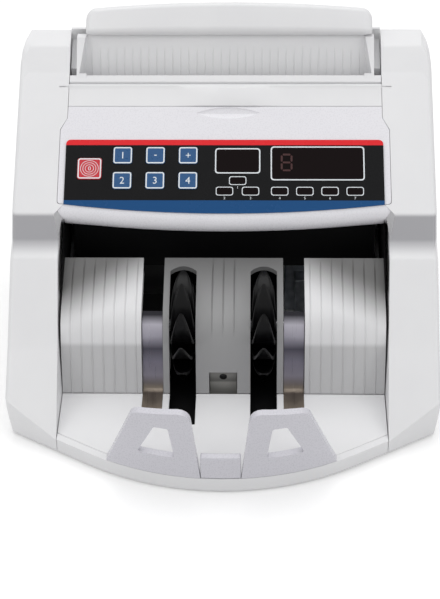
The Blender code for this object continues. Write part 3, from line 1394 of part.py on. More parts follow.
def blade(x, turn):
    """One swept, tapering blade of an impeller."""
    steps = 4
    lines = []
    for step in range(steps + 1):
        share = step / steps
        radius = IMPELLER_HUB_RADIUS - GAP + (IMPELLER_RADIUS - IMPELLER_HUB_RADIUS) * share
        angle = turn - IMPELLER_SWEEP * share ** 1.3
        centre = Vector((math.cos(angle), math.sin(angle))) * radius
        lines.append(centre)
    rings = []
    for step, centre in enumerate(lines):
        share = step / steps
        before = lines[max(step - 1, 0)]
        after = lines[min(step + 1, steps)]
        along = (after - before).normalized()
        across = Vector((-along.y, along.x))
        thick = (BLADE_ROOT_THICKNESS + (BLADE_TIP_THICKNESS - BLADE_ROOT_THICKNESS) * share) / 2
        half = (IMPELLER_WIDTH + (IMPELLER_TIP_WIDTH - IMPELLER_WIDTH) * share) / 2
        here = Vector((IMPELLER_Y, IMPELLER_Z)) + centre
        ring = []
        for a, b in ((-half, -thick), (half, -thick), (half, thick), (-half, thick)):
            spot = here + across * b
            ring.append((x + a, spot.x, spot.y))
        rings.append(ring)
    return loft(rings)


def impellers():
    """Stacker shaft with two bladed wheels and its pulley."""
    pivot = bpy.data.objects.new("impeller_pivot", None)
    bpy.context.scene.collection.objects.link(pivot)
    centre = (IMPELLER_Y, IMPELLER_Z)
    pivot.location = (0, *centre)
    place = tuple(pivot.location)
    end = HALF_OPENING - SHAFT_END_GAP
    shape = tube_x(centre, (SHAFT_RADIUS,), -end, end, 24)
    shaft = add_object("impeller_shaft", shape, "bright_steel", place, True, pivot)
    combine(shaft, "impeller_pulley", pulley(centre, IMPELLER_PULLEY_RADIUS, PULLEY_X), "UNION")
    middle = SLOT_INNER_X + SLOT_WIDTH / 2
    for side, word in ((-1, "left"), (1, "right")):
        x = side * middle
        low = x - IMPELLER_WIDTH / 2
        high = x + IMPELLER_WIDTH / 2
        hub = tube_x(centre, (IMPELLER_HUB_RADIUS, SHAFT_RADIUS + GAP), low, high)
        wheel = add_object("impeller_" + word, hub, "black_rubber", place, True, pivot)
        turns = [2 * math.pi * index / IMPELLER_BLADES for index in range(IMPELLER_BLADES)]
        blades = join_shapes([blade(x, turn) for turn in turns])
        combine(wheel, "impeller_blades_" + word, blades, "UNION")


def pulley(centre, radius, x):
    """Shape of a belt pulley whose rim shows the pitch of its teeth."""
    teeth = max(int(radius * 2 / TOOTH_SIZE), 12)
    outline = []
    for index in range(teeth * 2):
        turn = math.pi * index / teeth
        reach = radius if index % 2 else radius - 2 * GAP
        outline.append((centre[0] + reach * math.cos(turn), centre[1] + reach * math.sin(turn)))
    return prism_x(outline, x - PULLEY_WIDTH / 2, x + PULLEY_WIDTH / 2)


def roller_shaft(word, centre, radius, pulleys):
    """A driven shaft with two rubber rollers and its pulleys."""
    pivot = bpy.data.objects.new(word + "_pivot", None)
    bpy.context.scene.collection.objects.link(pivot)
    pivot.location = (0, *centre)
    place = tuple(pivot.location)
    end = HALF_OPENING - SHAFT_END_GAP
    shape = tube_x(centre, (SHAFT_RADIUS,), -end, end, 24)
    shaft = add_object(word + "_shaft", shape, "bright_steel", place, True, pivot)
    wheels = [pulley(centre, pulley_radius, x) for pulley_radius, x in pulleys]
    combine(shaft, word + "_pulleys", join_shapes(wheels), "UNION")
    bore = SHAFT_RADIUS + GAP
    end = ROLLER_OFFSET + ROLLER_WIDTH / 2
    sleeve = tube_x(centre, (bore + SLEEVE_WALL, bore), -end, end, 16)
    rollers = add_object(word + "_rollers", sleeve, "grey_rubber", place, True, pivot)
    shapes = []
    for x in (-ROLLER_OFFSET, ROLLER_OFFSET):
        shapes.append(tube_x(centre, (radius, bore), x - ROLLER_WIDTH / 2, x + ROLLER_WIDTH / 2))
    combine(rollers, word + "_treads", join_shapes(shapes), "UNION")


def hull_outline(circles, steps=8):
    """Outline of a belt round two pulleys, each given as (y, z, radius)."""
    (y0, z0, r0), (y1, z1, r1) = circles
    apart = math.hypot(y1 - y0, z1 - z0)
    heading = math.atan2(z1 - z0, y1 - y0)
    lean = math.acos((r0 - r1) / apart)
    outline = []
    for step in range(steps + 1):
        turn = heading + lean + (2 * math.pi - 2 * lean) * step / steps
        outline.append((y0 + r0 * math.cos(turn), z0 + r0 * math.sin(turn)))
    for step in range(steps + 1):
        turn = heading - lean + 2 * lean * step / steps
        outline.append((y1 + r1 * math.cos(turn), z1 + r1 * math.sin(turn)))
    return outline


def belt(name, first, second, x):
    """Closed belt round two pulleys."""
    inner = hull_outline([(*centre, radius + GAP) for centre, radius in (first, second)])
    outer = hull_outline([(*centre, radius + GAP + BELT_THICKNESS) for centre, radius in (first, second)])
    add_object(name, ring_prism(outer, inner, x - BELT_WIDTH / 2, x + BELT_WIDTH / 2), "black_rubber")


def drive():
    """Motor, belts, feed and pick-up shafts, and their bearings in the side plates."""
    motor_centre = (MOTOR_Y, MOTOR_Z)
    feed_centre = (FEED_Y, FEED_Z)
    pickup_centre = (PICKUP_Y, PICKUP_Z)
    second_x = PULLEY_X + PULLEY_PITCH
    feed_pulleys = ((FEED_PULLEY_RADIUS, second_x), (FEED_PULLEY_RADIUS, PULLEY_X))
    roller_shaft("feed", feed_centre, FEED_RADIUS, feed_pulleys)
    roller_shaft("pickup", pickup_centre, PICKUP_RADIUS, ((PICKUP_PULLEY_RADIUS, PULLEY_X),))

    body = tube_x(motor_centre, (MOTOR_RADIUS,), MOTOR_END_X, MOTOR_END_X + MOTOR_LENGTH)
    motor = add_object("drive_motor", body, "zinc_steel", smooth=True)
    foot = box(
        (MOTOR_END_X + WALL, MOTOR_Y - MOTOR_FOOT_WIDTH / 2, INSIDE_Z),
        (MOTOR_END_X + MOTOR_LENGTH - WALL, MOTOR_Y + MOTOR_FOOT_WIDTH / 2, MOTOR_Z - MOTOR_RADIUS / 2),
    )
    combine(motor, "motor_foot", foot, "UNION")
    bore = tube_x(motor_centre, (MOTOR_SHAFT_RADIUS + GAP,), MOTOR_END_X - OVERRUN, MOTOR_END_X + MOTOR_LENGTH / 2, 16)
    combine(motor, "motor_bore", bore, "DIFFERENCE")
    pivot = bpy.data.objects.new("motor_pivot", None)
    bpy.context.scene.collection.objects.link(pivot)
    pivot.location = (0, *motor_centre)
    shaft_start = PULLEY_X - PULLEY_WIDTH / 2
    shape = tube_x(motor_centre, (MOTOR_SHAFT_RADIUS,), shaft_start, MOTOR_END_X + MOTOR_LENGTH / 2 - GAP, 16)
    shaft = add_object("motor_shaft", shape, "bright_steel", tuple(pivot.location), True, pivot)
    wheels = [pulley(motor_centre, MOTOR_PULLEY_RADIUS, x) for x in (PULLEY_X, second_x)]
    combine(shaft, "motor_pulleys", join_shapes(wheels), "UNION")

    motor_end = (motor_centre, MOTOR_PULLEY_RADIUS)
    belt("stacker_belt", ((IMPELLER_Y, IMPELLER_Z), IMPELLER_PULLEY_RADIUS), motor_end, PULLEY_X)
    belt("feed_belt", (feed_centre, FEED_PULLEY_RADIUS), motor_end, second_x)
    belt("pickup_belt", (feed_centre, FEED_PULLEY_RADIUS), (pickup_centre, PICKUP_PULLEY_RADIUS), PULLEY_X)

    plate_outer = HALF_OPENING - SIDE_PLATE_INSET
    plate_inner = plate_outer - SIDE_PLATE_THICKNESS
    centres = ((IMPELLER_Y, IMPELLER_Z), feed_centre, pickup_centre)
    for side, word in ((-1, "left"), (1, "right")):
        low = min(side * plate_outer, side * plate_inner)
        high = max(side * plate_outer, side * plate_inner)
        plate = add_object("side_plate_" + word, prism_x(side_plate_outline(), low, high), "zinc_steel")
        middle = (low + high) / 2
        bushes = []
        bores = []
        for centre in centres:
            bushes.append(tube_x(centre, (BUSH_RADIUS,), middle - BUSH_WIDTH / 2, middle + BUSH_WIDTH / 2, 12))
            bores.append(tube_x(centre, (SHAFT_RADIUS + GAP,), low - OVERRUN, high + OVERRUN, 12))
        combine(plate, "shaft_bushes_" + word, join_shapes(bushes), "UNION")
        combine(plate, "shaft_bores_" + word, join_shapes(bores), "DIFFERENCE")
    bar_low = (-plate_inner + GAP, FEED_Y - FEED_RADIUS - DETECTOR_SIZE[0] - OVERRUN, FEED_Z - DETECTOR_SIZE[1] / 2)
    bar_high = (plate_inner - GAP, FEED_Y - FEED_RADIUS - OVERRUN, FEED_Z + DETECTOR_SIZE[1] / 2)
    add_object("detector_bar", box(bar_low, bar_high), "black_plastic")


def side_plate_outline():
    """Steel side plate that carries the shafts, kept below the panel and behind the stacker plates."""
    under_panel = WALL + 4 * GAP
    top_front = PANEL_TOP - SLOPE * PANEL_LENGTH * 0.55 - NORMAL * under_panel
    top_back = PANEL_TOP + SLOPE * WALL - NORMAL * (under_panel + WALL)
    lip_back = lip_centre(HALF_OPENING).x + LIP_RETURN + 2 * GAP
    rear = REAR_Y - 3 * COVER_HINGE_INSET
    margin = BUSH_RADIUS * 1.7
    return rounded(
        [
            (IMPELLER_Y - margin, INSIDE_Z, 0.0),
            (IMPELLER_Y - margin, IMPELLER_Z - margin, 0.0),
            (IMPELLER_Y - margin, IMPELLER_Z + margin / 2, 0.0),
            (IMPELLER_Y + margin / 2, IMPELLER_Z + 1.5 * margin, 0.0),
            (lip_back, STACKER_TOP_Z, 0.0),
            (lip_back, top_front.y - 2 * margin, 0.0),
            (top_front.x, top_front.y, 0.0),
            (top_back.x, top_back.y, 0.0),
            (PICKUP_Y + BUSH_RADIUS + GAP * 4, top_back.y - margin / 2, 0.0),
            (PICKUP_Y + BUSH_RADIUS + GAP * 4, COVER_BOTTOM + margin, 0.0),
            (rear, REAR_PANEL_TOP, 0.0),
            (rear, INSIDE_Z, 0.0),
        ]
    )


def electrics():
    """Rear panel with its fittings, the transformer and the main board."""
    step = INNER_HALF - KNUCKLE_LENGTH - 2 * GAP
    outline = [
        (-INNER_HALF, INSIDE_Z),
        (INNER_HALF, INSIDE_Z),
        (INNER_HALF, REAR_PANEL_TOP),
        (step, REAR_PANEL_TOP),
        (step, REAR_PANEL_TOP + REAR_PANEL_RISE),
        (-step, REAR_PANEL_TOP + REAR_PANEL_RISE),
        (-step, REAR_PANEL_TOP),
        (-INNER_HALF, REAR_PANEL_TOP),
    ]
    panel = add_object("rear_panel", prism_y(outline, REAR_Y - WALL, REAR_Y), "white_plastic")
    fronts = (REAR_Y - WALL - OVERRUN, REAR_Y + OVERRUN)
    holes = [
        prism_y(centred(INLET_X, INLET_WIDTH, INLET_HEIGHT, GAP), *fronts),
        prism_y(centred(SWITCH_X, SWITCH_WIDTH, SWITCH_HEIGHT, GAP), *fronts),
        prism_y(circle((FUSE_X, REAR_PARTS_Z), FUSE_RADIUS + GAP, 24), *fronts),
        prism_y(centred(SOCKET_X, SOCKET_WIDTH, SOCKET_HEIGHT, GAP), *fronts),
    ]
    combine(panel, "rear_panel_holes", join_shapes(holes), "DIFFERENCE")

    inlet = add_object(
        "power_inlet",
        prism_y(centred(INLET_X, INLET_WIDTH, INLET_HEIGHT, 0.0), REAR_Y - INLET_DEPTH, REAR_Y),
        "black_plastic",
    )
    mouth = prism_y(centred(INLET_X, INLET_WIDTH, INLET_HEIGHT, -INLET_WALL), REAR_Y - INLET_CAVITY, REAR_Y + OVERRUN)
    combine(inlet, "inlet_mouth", mouth, "DIFFERENCE")
    pins = []
    for index in (-1, 0, 1):
        lift = PIN_THICKNESS if index == 0 else -PIN_THICKNESS
        x = INLET_X + index * PIN_PITCH
        z = REAR_PARTS_Z + lift
        low = (x - PIN_THICKNESS / 2, REAR_Y - INLET_CAVITY - INLET_WALL, z - PIN_WIDTH / 2)
        high = (x + PIN_THICKNESS / 2, REAR_Y - INLET_CAVITY + PIN_LENGTH, z + PIN_WIDTH / 2)
        pins.append(box(low, high))
    combine(inlet, "inlet_pins", join_shapes(pins), "UNION")

    body = add_object(
        "switch_body",
        prism_y(centred(SWITCH_X, SWITCH_WIDTH, SWITCH_HEIGHT, 0.0), REAR_Y - SWITCH_DEPTH, REAR_Y),
        "black_plastic",
    )
    rocker_depth = REAR_Y - ROCKER_INSET
    room = box(
        (SWITCH_X - SWITCH_WIDTH / 2 + RIM, rocker_depth - ROCKER_RADIUS, REAR_PARTS_Z - SWITCH_HEIGHT / 2 + RIM),
        (SWITCH_X + SWITCH_WIDTH / 2 - RIM, REAR_Y + OVERRUN, REAR_PARTS_Z + SWITCH_HEIGHT / 2 - RIM),
    )
    combine(body, "rocker_room", room, "DIFFERENCE")
    rocker(rocker_depth)

    fuse = prism_y(circle((FUSE_X, REAR_PARTS_Z), FUSE_RADIUS, 24), REAR_Y - FUSE_DEPTH, REAR_Y)
    fuse_holder = add_object("fuse_holder", fuse, "black_plastic", smooth=True)
    slot = box(
        (FUSE_X - FUSE_RADIUS / 2, REAR_Y - RIM, REAR_PARTS_Z - GAP * 2),
        (FUSE_X + FUSE_RADIUS / 2, REAR_Y + OVERRUN, REAR_PARTS_Z + GAP * 2),
    )
    combine(fuse_holder, "fuse_cap_slot", slot, "DIFFERENCE")

    socket = add_object(
        "display_socket",
        prism_y(centred(SOCKET_X, SOCKET_WIDTH, SOCKET_HEIGHT, 0.0), REAR_Y - SOCKET_DEPTH, REAR_Y),
        "black_plastic",
    )
    cavity = prism_y(centred(SOCKET_X, SOCKET_WIDTH, SOCKET_HEIGHT, -RIM), REAR_Y - SOCKET_CAVITY, REAR_Y + OVERRUN)
    combine(socket, "socket_mouth", cavity, "DIFFERENCE")

    width, depth, height = TRANSFORMER_SIZE
    x, y = TRANSFORMER_PLACE
    core = box((x - width / 2, y - depth / 4, INSIDE_Z), (x + width / 2, y + depth / 4, INSIDE_Z + height))
    transformer = add_object("transformer", core, "zinc_steel")
    coil_low = (x - width / 2 + COIL_MARGIN, y - depth / 2, INSIDE_Z + COIL_MARGIN)
    coil_high = (x + width / 2 - COIL_MARGIN, y + depth / 2, INSIDE_Z + height - COIL_MARGIN)
    combine(transformer, "transformer_coil", box(coil_low, coil_high), "UNION")

    width, depth = MAIN_BOARD_SIZE
    x, y = MAIN_BOARD_PLACE
    low = (x - width / 2, y - depth / 2, MAIN_BOARD_Z)
    high = (x + width / 2, y + depth / 2, MAIN_BOARD_Z + BOARD_THICKNESS)
    add_object("main_board", box(low, high), "board_green")


def centred(x, width, height, grow):
    """A rectangle in (x, z) round a place on the rear panel, grown on every side."""
    a = width / 2 + grow
    b = height / 2 + grow
    return [
        (x - a, REAR_PARTS_Z - b),
        (x + a, REAR_PARTS_Z - b),
        (x + a, REAR_PARTS_Z + b),
        (x - a, REAR_PARTS_Z + b),
    ]


def rocker(depth):
    """Rocker of the power switch, turning about a vertical line through its body."""
    pivot = bpy.data.objects.new("rocker_pivot", None)
    bpy.context.scene.collection.objects.link(pivot)
    pivot.location = (SWITCH_X, depth, REAR_PARTS_Z)
    half = SWITCH_WIDTH / 2 - RIM - 4 * GAP
    crest = ROCKER_RADIUS * 0.45
    corners = [
        (-half, -GAP),
        (-half, crest),
        (0.0, ROCKER_RADIUS / 4),
        (half, crest),
        (half, -GAP),
        (0.0, -ROCKER_RADIUS / 2),
    ]
    spin = Matrix.Rotation(ROCKER_TILT, 2)
    outline = [tuple(spin @ Vector(corner) + Vector((SWITCH_X, depth))) for corner in corners]
    top = REAR_PARTS_Z + SWITCH_HEIGHT / 2 - RIM - GAP
    bottom = REAR_PARTS_Z - SWITCH_HEIGHT / 2 + RIM + GAP
    add_object("power_rocker", prism_z(outline, bottom, top), "black_plastic", tuple(pivot.location), parent=pivot)


def main():
    """Empty the scene and build every sub-part."""
    for item in list(bpy.data.objects):
        bpy.data.objects.remove(item, do_unlink=True)
    base_tray()
    feet()
    side_casing("side_casing_left", -1)
    side_casing("side_casing_right", 1)
    control_panel()
    keys()
    display_parts()
    top_flap()
    pivot = hopper_frame()
    rear_cover(pivot)
    stacker()
    pocket_stops()
    impellers()
    drive()
    electrics()


main()
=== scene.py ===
import json
import math

import bmesh
import bpy
import numpy as np
from mathutils import Matrix, Vector

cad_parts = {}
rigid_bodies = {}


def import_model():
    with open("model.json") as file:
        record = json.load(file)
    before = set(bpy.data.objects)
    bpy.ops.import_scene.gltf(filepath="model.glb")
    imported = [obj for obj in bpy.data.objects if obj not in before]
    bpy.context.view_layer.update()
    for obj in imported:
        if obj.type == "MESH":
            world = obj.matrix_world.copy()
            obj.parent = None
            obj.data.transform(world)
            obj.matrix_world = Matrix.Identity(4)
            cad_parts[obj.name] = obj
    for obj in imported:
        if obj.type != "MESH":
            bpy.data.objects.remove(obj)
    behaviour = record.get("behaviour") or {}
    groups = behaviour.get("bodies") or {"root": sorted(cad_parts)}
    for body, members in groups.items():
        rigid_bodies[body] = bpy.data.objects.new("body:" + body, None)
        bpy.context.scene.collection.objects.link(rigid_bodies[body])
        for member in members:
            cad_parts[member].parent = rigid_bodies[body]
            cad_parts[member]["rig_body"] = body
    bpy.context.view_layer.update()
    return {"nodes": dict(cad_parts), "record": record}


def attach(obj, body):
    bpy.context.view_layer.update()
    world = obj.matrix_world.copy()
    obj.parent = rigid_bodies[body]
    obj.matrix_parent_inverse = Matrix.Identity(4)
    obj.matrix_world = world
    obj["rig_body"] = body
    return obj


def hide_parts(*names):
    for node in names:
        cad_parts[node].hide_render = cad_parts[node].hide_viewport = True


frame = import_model()
mm = 0.001
nodeSlot = {part["node"]: part["material_slot"] for part in frame["record"]["subparts"]}
print("frame loaded with", len(frame["nodes"]), "solids")


# Camera: an orbit round the machine, turned and rolled a little, as the picture was taken
cameraValues = dict(elevation=36.0, yaw=1.656, roll=-0.842, distance=1000 * mm, target=(0, 4.9 * mm, 90 * mm),
                    focalPixels=1498.8, centrePixels=(223.65, 250.97), imageSize=(440, 599), sensor=24.0)


def placeCamera(values):
    # back = (sin yaw cos elevation, -cos yaw cos elevation, sin elevation); right and up are turned by the roll
    yaw, rise, roll = (math.radians(values[key]) for key in ("yaw", "elevation", "roll"))
    back = Vector((math.sin(yaw) * math.cos(rise), -math.cos(yaw) * math.cos(rise), math.sin(rise)))
    right = Vector((math.cos(yaw), math.sin(yaw), 0))
    up = right.cross(-back)
    turnedRight = math.cos(roll) * right + math.sin(roll) * up
    turnedUp = -math.sin(roll) * right + math.cos(roll) * up
    place = Vector(values["target"]) + back * values["distance"]
    data = bpy.data.cameras.new("photoCamera")
    width, height = values["imageSize"]
    data.sensor_fit = "VERTICAL"
    data.sensor_height = values["sensor"]
    data.lens = values["focalPixels"] / height * values["sensor"]
    data.shift_x = (width / 2 - values["centrePixels"][0]) / height
    data.shift_y = (values["centrePixels"][1] - height / 2) / height
    camera = bpy.data.objects.new("photoCamera", data)
    bpy.context.scene.collection.objects.link(camera)
    columns = (turnedRight, turnedUp, back)
    rows = [[*(axis[row] for axis in columns), place[row]] for row in range(3)]
    camera.matrix_world = Matrix(rows + [[0, 0, 0, 1]])
    bpy.context.scene.camera = camera


placeCamera(cameraValues)
bpy.context.scene.view_settings.view_transform = "Standard"
print("camera placed")


# Small helpers for colours, shader nodes and meshes
def linear(hexColour):
    # sRGB to linear: c / 12.92 up to 0.04045, and ((c + 0.055) / 1.055) ** 2.4 above it
    parts = [int(hexColour[start:start + 2], 16) / 255 for start in (1, 3, 5)]
    return (*(c / 12.92 if c <= 0.04045 else ((c + 0.055) / 1.055) ** 2.4 for c in parts), 1.0)


def addNode(tree, kind, inputs=None, **settings):
    # one node: settings are its own properties, inputs are values or sockets to link
    node = tree.nodes.new(kind)
    for key, value in settings.items():
        setattr(node, key, value)
    for key, value in (inputs or {}).items():
        if isinstance(value, bpy.types.NodeSocket):
            tree.links.new(value, node.inputs[key])
        else:
            node.inputs[key].default_value = value
    return node


def calculate(tree, operation, *values):
    # the result of one sum on numbers or sockets
    return addNode(tree, "ShaderNodeMath", dict(enumerate(values)), operation=operation).outputs[0]


def blend(tree, share, colour, other):
    # a colour on the way from one to the other; the colour mix has its sockets at 0, 6, 7 and 2
    return addNode(tree, "ShaderNodeMix", {0: share, 6: colour, 7: other}, data_type="RGBA").outputs[2]


def noise(tree, place, size, detail=2.0):
    # an even noise with features of about this size (m)
    return addNode(tree, "ShaderNodeTexNoise", {"Vector": place, "Scale": 1 / size, "Detail": detail}).outputs["Fac"]


def newFinish(name, **sockets):
    # a material, its tree and its shader, with these constants on the shader's own sockets
    material = bpy.data.materials.new(name)
    material.use_nodes = True
    shader = material.node_tree.nodes["Principled BSDF"]
    for key, value in sockets.items():
        shader.inputs[key.replace("_", " ")].default_value = value
    return material, material.node_tree, shader


def objectPlace(tree):
    return addNode(tree, "ShaderNodeTexCoord").outputs["Object"]


def setPolish(tree, shader, pattern, low, high):
    # the roughness follows a pattern, from low to high
    polish = addNode(tree, "ShaderNodeMapRange", {"Value": pattern, "To Min": low, "To Max": high})
    tree.links.new(polish.outputs[0], shader.inputs["Roughness"])


def setRelief(tree, shader, pattern, depth, strength=0.5):
    # a fine relief that follows a pattern, this deep (m)
    relief = addNode(tree, "ShaderNodeBump", {"Height": pattern, "Distance": depth, "Strength": strength})
    tree.links.new(relief.outputs[0], shader.inputs["Normal"])


def gridFaces(rows, columns, closeRows=False, closeColumns=False):
    # quads between neighbouring points of a rows x columns grid, wrapped where it closes on itself
    row = np.arange(rows if closeRows else rows - 1)[:, None]
    column = np.arange(columns if closeColumns else columns - 1)[None, :]
    nextRow, nextColumn = (row + 1) % rows, (column + 1) % columns
    corners = (row * columns + column, row * columns + nextColumn, nextRow * columns + nextColumn,
               nextRow * columns + column)
    return np.stack([np.broadcast_to(c, (len(row), column.shape[1])).ravel() for c in corners], axis=1)


def newMesh(name, points, faces):
    # points is an (n, 3) array in metres, faces a list of corner lists
    mesh = bpy.data.meshes.new(name)
    mesh.from_pydata(np.asarray(points, float).tolist(), [], faces)
    return mesh


def addPiece(mesh, finish, body=None, node=None):
    # puts a mesh into the scene with its finish, on the body it moves with, and hides the solid it stands for
    mesh.materials.append(finish)
    piece = bpy.data.objects.new(mesh.name, mesh)
    bpy.context.scene.collection.objects.link(piece)
    if body:
        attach(piece, body)
    if node:
        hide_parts(node)
    return piece


def faceOutwards(mesh, sharpAngle):
    # merges doubles, turns every face outwards, and shades round all but the edges over this angle (degrees)
    edit = bmesh.new()
    edit.from_mesh(mesh)
    bmesh.ops.remove_doubles(edit, verts=edit.verts, dist=1e-7)
    bmesh.ops.recalc_face_normals(edit, faces=edit.faces)
    edit.to_mesh(mesh)
    edit.free()
    mesh.polygons.foreach_set("use_smooth", np.ones(len(mesh.polygons), bool))
    mesh.set_sharp_from_angle(angle=math.radians(sharpAngle))


def sideWord(side):
    return "left" if side < 0 else "right"


# Finishes of the plastics. Shade is painted by place into some of them: each ramp is (spread, from, to, amount)
plasticValues = dict(white="#E4E4E5", shade="#DCDCDE", gloss="#E3E2E6", glossShade="#DEDDE2", grain=0.9 * mm,
                     mottle=42 * mm, roughness=0.44, glossRoughness=0.27, etched=0.02 * mm, polished=0.002 * mm)
paintedShadeValues = dict(
    # plates: painted shadow of the panel's lip over their tops, reaching lower towards the outer sides, and painted
    # shade over their lower part
    plates=dict(colour="#3A3937", join="ADD", ramps=[(0.25, 84 * mm, 101 * mm, 0.88), (0.0, 50 * mm, 46 * mm, 0.27),
                                                     (0.0, 84 * mm, 60 * mm, 0.06)]),
    # centre plate: painted shade over all of it above 14.6 mm, deeper towards its top
    centre=dict(colour="#343433", join="ADD", ramps=[(0.0, 62 * mm, 84 * mm, 0.3),
                                                     (0.0, 13.9 * mm, 14.6 * mm, 0.6)]),
    # casings: painted shade in a band across the shoulder, between about 91 and 112 mm high, on faces that lean to
    # the front
    cheeks=dict(colour="#77767C", join="MULTIPLY", ramps=[(0.0, 91 * mm, 98 * mm, 1.0),
                                                          (0.0, 112 * mm, 109.5 * mm, 0.68)],
                front=(0, -0.8, 0.6), lean=0.7),
    # sensor: painted shade above 19.5 mm, darkest at 21.5 mm and lighter towards the top, and black painted shade
    # inside its hole
    sensor=dict(colour="#141413", join="ADD", ramps=[(0.0, 19.5 * mm, 21.5 * mm, 0.62),
                                                     (0.0, 21.5 * mm, 27 * mm, -0.32)],
                hole=(24.7 * mm, 2.5 * mm)),
)


def dustShare(tree, place, paintedShade):
    # The share of painted shade: a smooth ramp of height + spread |x| for each row, added or multiplied together. It
    # can be kept to the faces that lean towards the front, and it is full inside a hole, as the shade in it: distance
    # in x and z from its centre under its radius.
    spot = addNode(tree, "ShaderNodeSeparateXYZ", {0: place})
    out = calculate(tree, "ABSOLUTE", spot.outputs["X"])
    share = None
    for spread, low, high, amount in paintedShade["ramps"]:
        wide = calculate(tree, "MULTIPLY_ADD", out, spread, spot.outputs["Z"])
        ramp = addNode(tree, "ShaderNodeMapRange", {"Value": wide, "From Min": low, "From Max": high,
                                                    "To Max": amount}, interpolation_type="SMOOTHSTEP").outputs[0]
        share = ramp if share is None else calculate(tree, paintedShade["join"], share, ramp)
    if "front" in paintedShade:
        normal = addNode(tree, "ShaderNodeNewGeometry").outputs["Normal"]
        towards = addNode(tree, "ShaderNodeVectorMath", {0: normal, 1: paintedShade["front"]}, operation="DOT_PRODUCT")
        faces = calculate(tree, "GREATER_THAN", towards.outputs["Value"], paintedShade["lean"])
        share = calculate(tree, "MULTIPLY", share, faces)
    if "hole" in paintedShade:
        height, radius = paintedShade["hole"]
        offset = addNode(tree, "ShaderNodeVectorMath", {0: place, 1: (1, 0, 1), 2: (0, 0, -height)},
                         operation="MULTIPLY_ADD").outputs[0]
        length = addNode(tree, "ShaderNodeVectorMath", {0: offset}, operation="LENGTH").outputs["Value"]
        share = calculate(tree, "MAXIMUM", share, calculate(tree, "LESS_THAN", length, radius))
    return share


def mouldedAbs(name, colour, shade, roughness, grainHeight, gloss=0.5, paintedShade=None):
    # Injection-moulded ABS. The fine etched grain of the tool breaks up its highlights, and the colour is never
    # quite even. The real grain is about 0.2 mm, drawn at 0.9 mm so that it shows. Painted shade can be laid on it by
    # place.
    material, tree, shader = newFinish(name, IOR=1.54, Specular_IOR_Level=gloss)
    place = objectPlace(tree)
    tone = blend(tree, noise(tree, place, plasticValues["mottle"], 3.0), linear(colour), linear(shade))
    # painted shade, laid by place over the colour
    if paintedShade:
        tone = blend(tree, dustShare(tree, place, paintedShade), tone, linear(paintedShade["colour"]))
    grain = noise(tree, place, plasticValues["grain"])
    tree.links.new(tone, shader.inputs["Base Color"])
    setPolish(tree, shader, grain, roughness - 0.05, roughness + 0.07)
    setRelief(tree, shader, grain, grainHeight)
    return material


def whiteAbs(name, paintedShade=None):
    return mouldedAbs(name, plasticValues["white"], plasticValues["shade"], plasticValues["roughness"],
                      plasticValues["etched"], paintedShade=paintedShade)


louvreValues = dict(inner=28 * mm, outer=84 * mm, bottom=65 * mm, top=101.6 * mm, spacing=10.4 * mm, slot=4.8 * mm,
                    facing=0.9, dark="#0E0E10")


def louvredAbs(name, values):
    # The same white ABS with two fields of cooling slots, drawn flat as dark stripes of painted shade for their
    # insides. A spot is dark where its height is within half a slot of a multiple of the spacing, inside the fields,
    # and on the face that looks to the rear.
    material = whiteAbs(name)
    tree = material.node_tree
    shader = tree.nodes["Principled BSDF"]
    spot = addNode(tree, "ShaderNodeSeparateXYZ", {0: objectPlace(tree)}).outputs
    normal = addNode(tree, "ShaderNodeNewGeometry").outputs["Normal"]
    backwards = addNode(tree, "ShaderNodeSeparateXYZ", {0: normal}).outputs["Y"]
    out = calculate(tree, "ABSOLUTE", spot["X"])
    step = calculate(tree, "PINGPONG", spot["Z"], values["spacing"] / 2)
    share = calculate(tree, "LESS_THAN", step, values["slot"] / 2)
    for kind, value, mark in (("GREATER_THAN", out, values["inner"]), ("LESS_THAN", out, values["outer"]),
                              ("GREATER_THAN", spot["Z"], values["bottom"]), ("LESS_THAN", spot["Z"], values["top"]),
                              ("GREATER_THAN", backwards, values["facing"])):
        share = calculate(tree, "MULTIPLY", share, calculate(tree, kind, value, mark))
    plain = shader.inputs["Base Color"].links[0].from_socket
    tree.links.new(blend(tree, share, plain, linear(values["dark"])), shader.inputs["Base Color"])
    return material


# The panel's plane, and the finishes of what lies on it
panelValues = dict(angle=math.radians(35.62), labelTop=(60.93 * mm, 141.98 * mm), labelHalf=107.3 * mm,
                   labelHeight=46.5 * mm, filmFace=0.8 * mm, redBand=3.95 * mm, blueStart=43.7 * mm)
filmValues = dict(black="#0C0C0E", red="#DB2A30", blue="#18497A", outline="#DDE2E6", key="#22507F",
                  keyRed="#C42A36", window="#100809", digit="#3A0F10")
across = np.array([1.0, 0.0, 0.0])
downhill = np.array([0.0, math.cos(panelValues["angle"]), math.sin(panelValues["angle"])])
outward = np.array([0.0, -math.sin(panelValues["angle"]), math.cos(panelValues["angle"])])


def onPanel(flat, level):
    # (x, distance up the panel) from the top centre of the label and one height above it, into the machine's frame
    start = np.array([0.0, *panelValues["labelTop"]])
    return start + flat[:, :1] * across + flat[:, 1:2] * downhill + level * outward


def onLabel(share, drop):
    # shares of the label's half width and of its height, into panel distances
    return share * panelValues["labelHalf"], -drop * panelValues["labelHeight"]


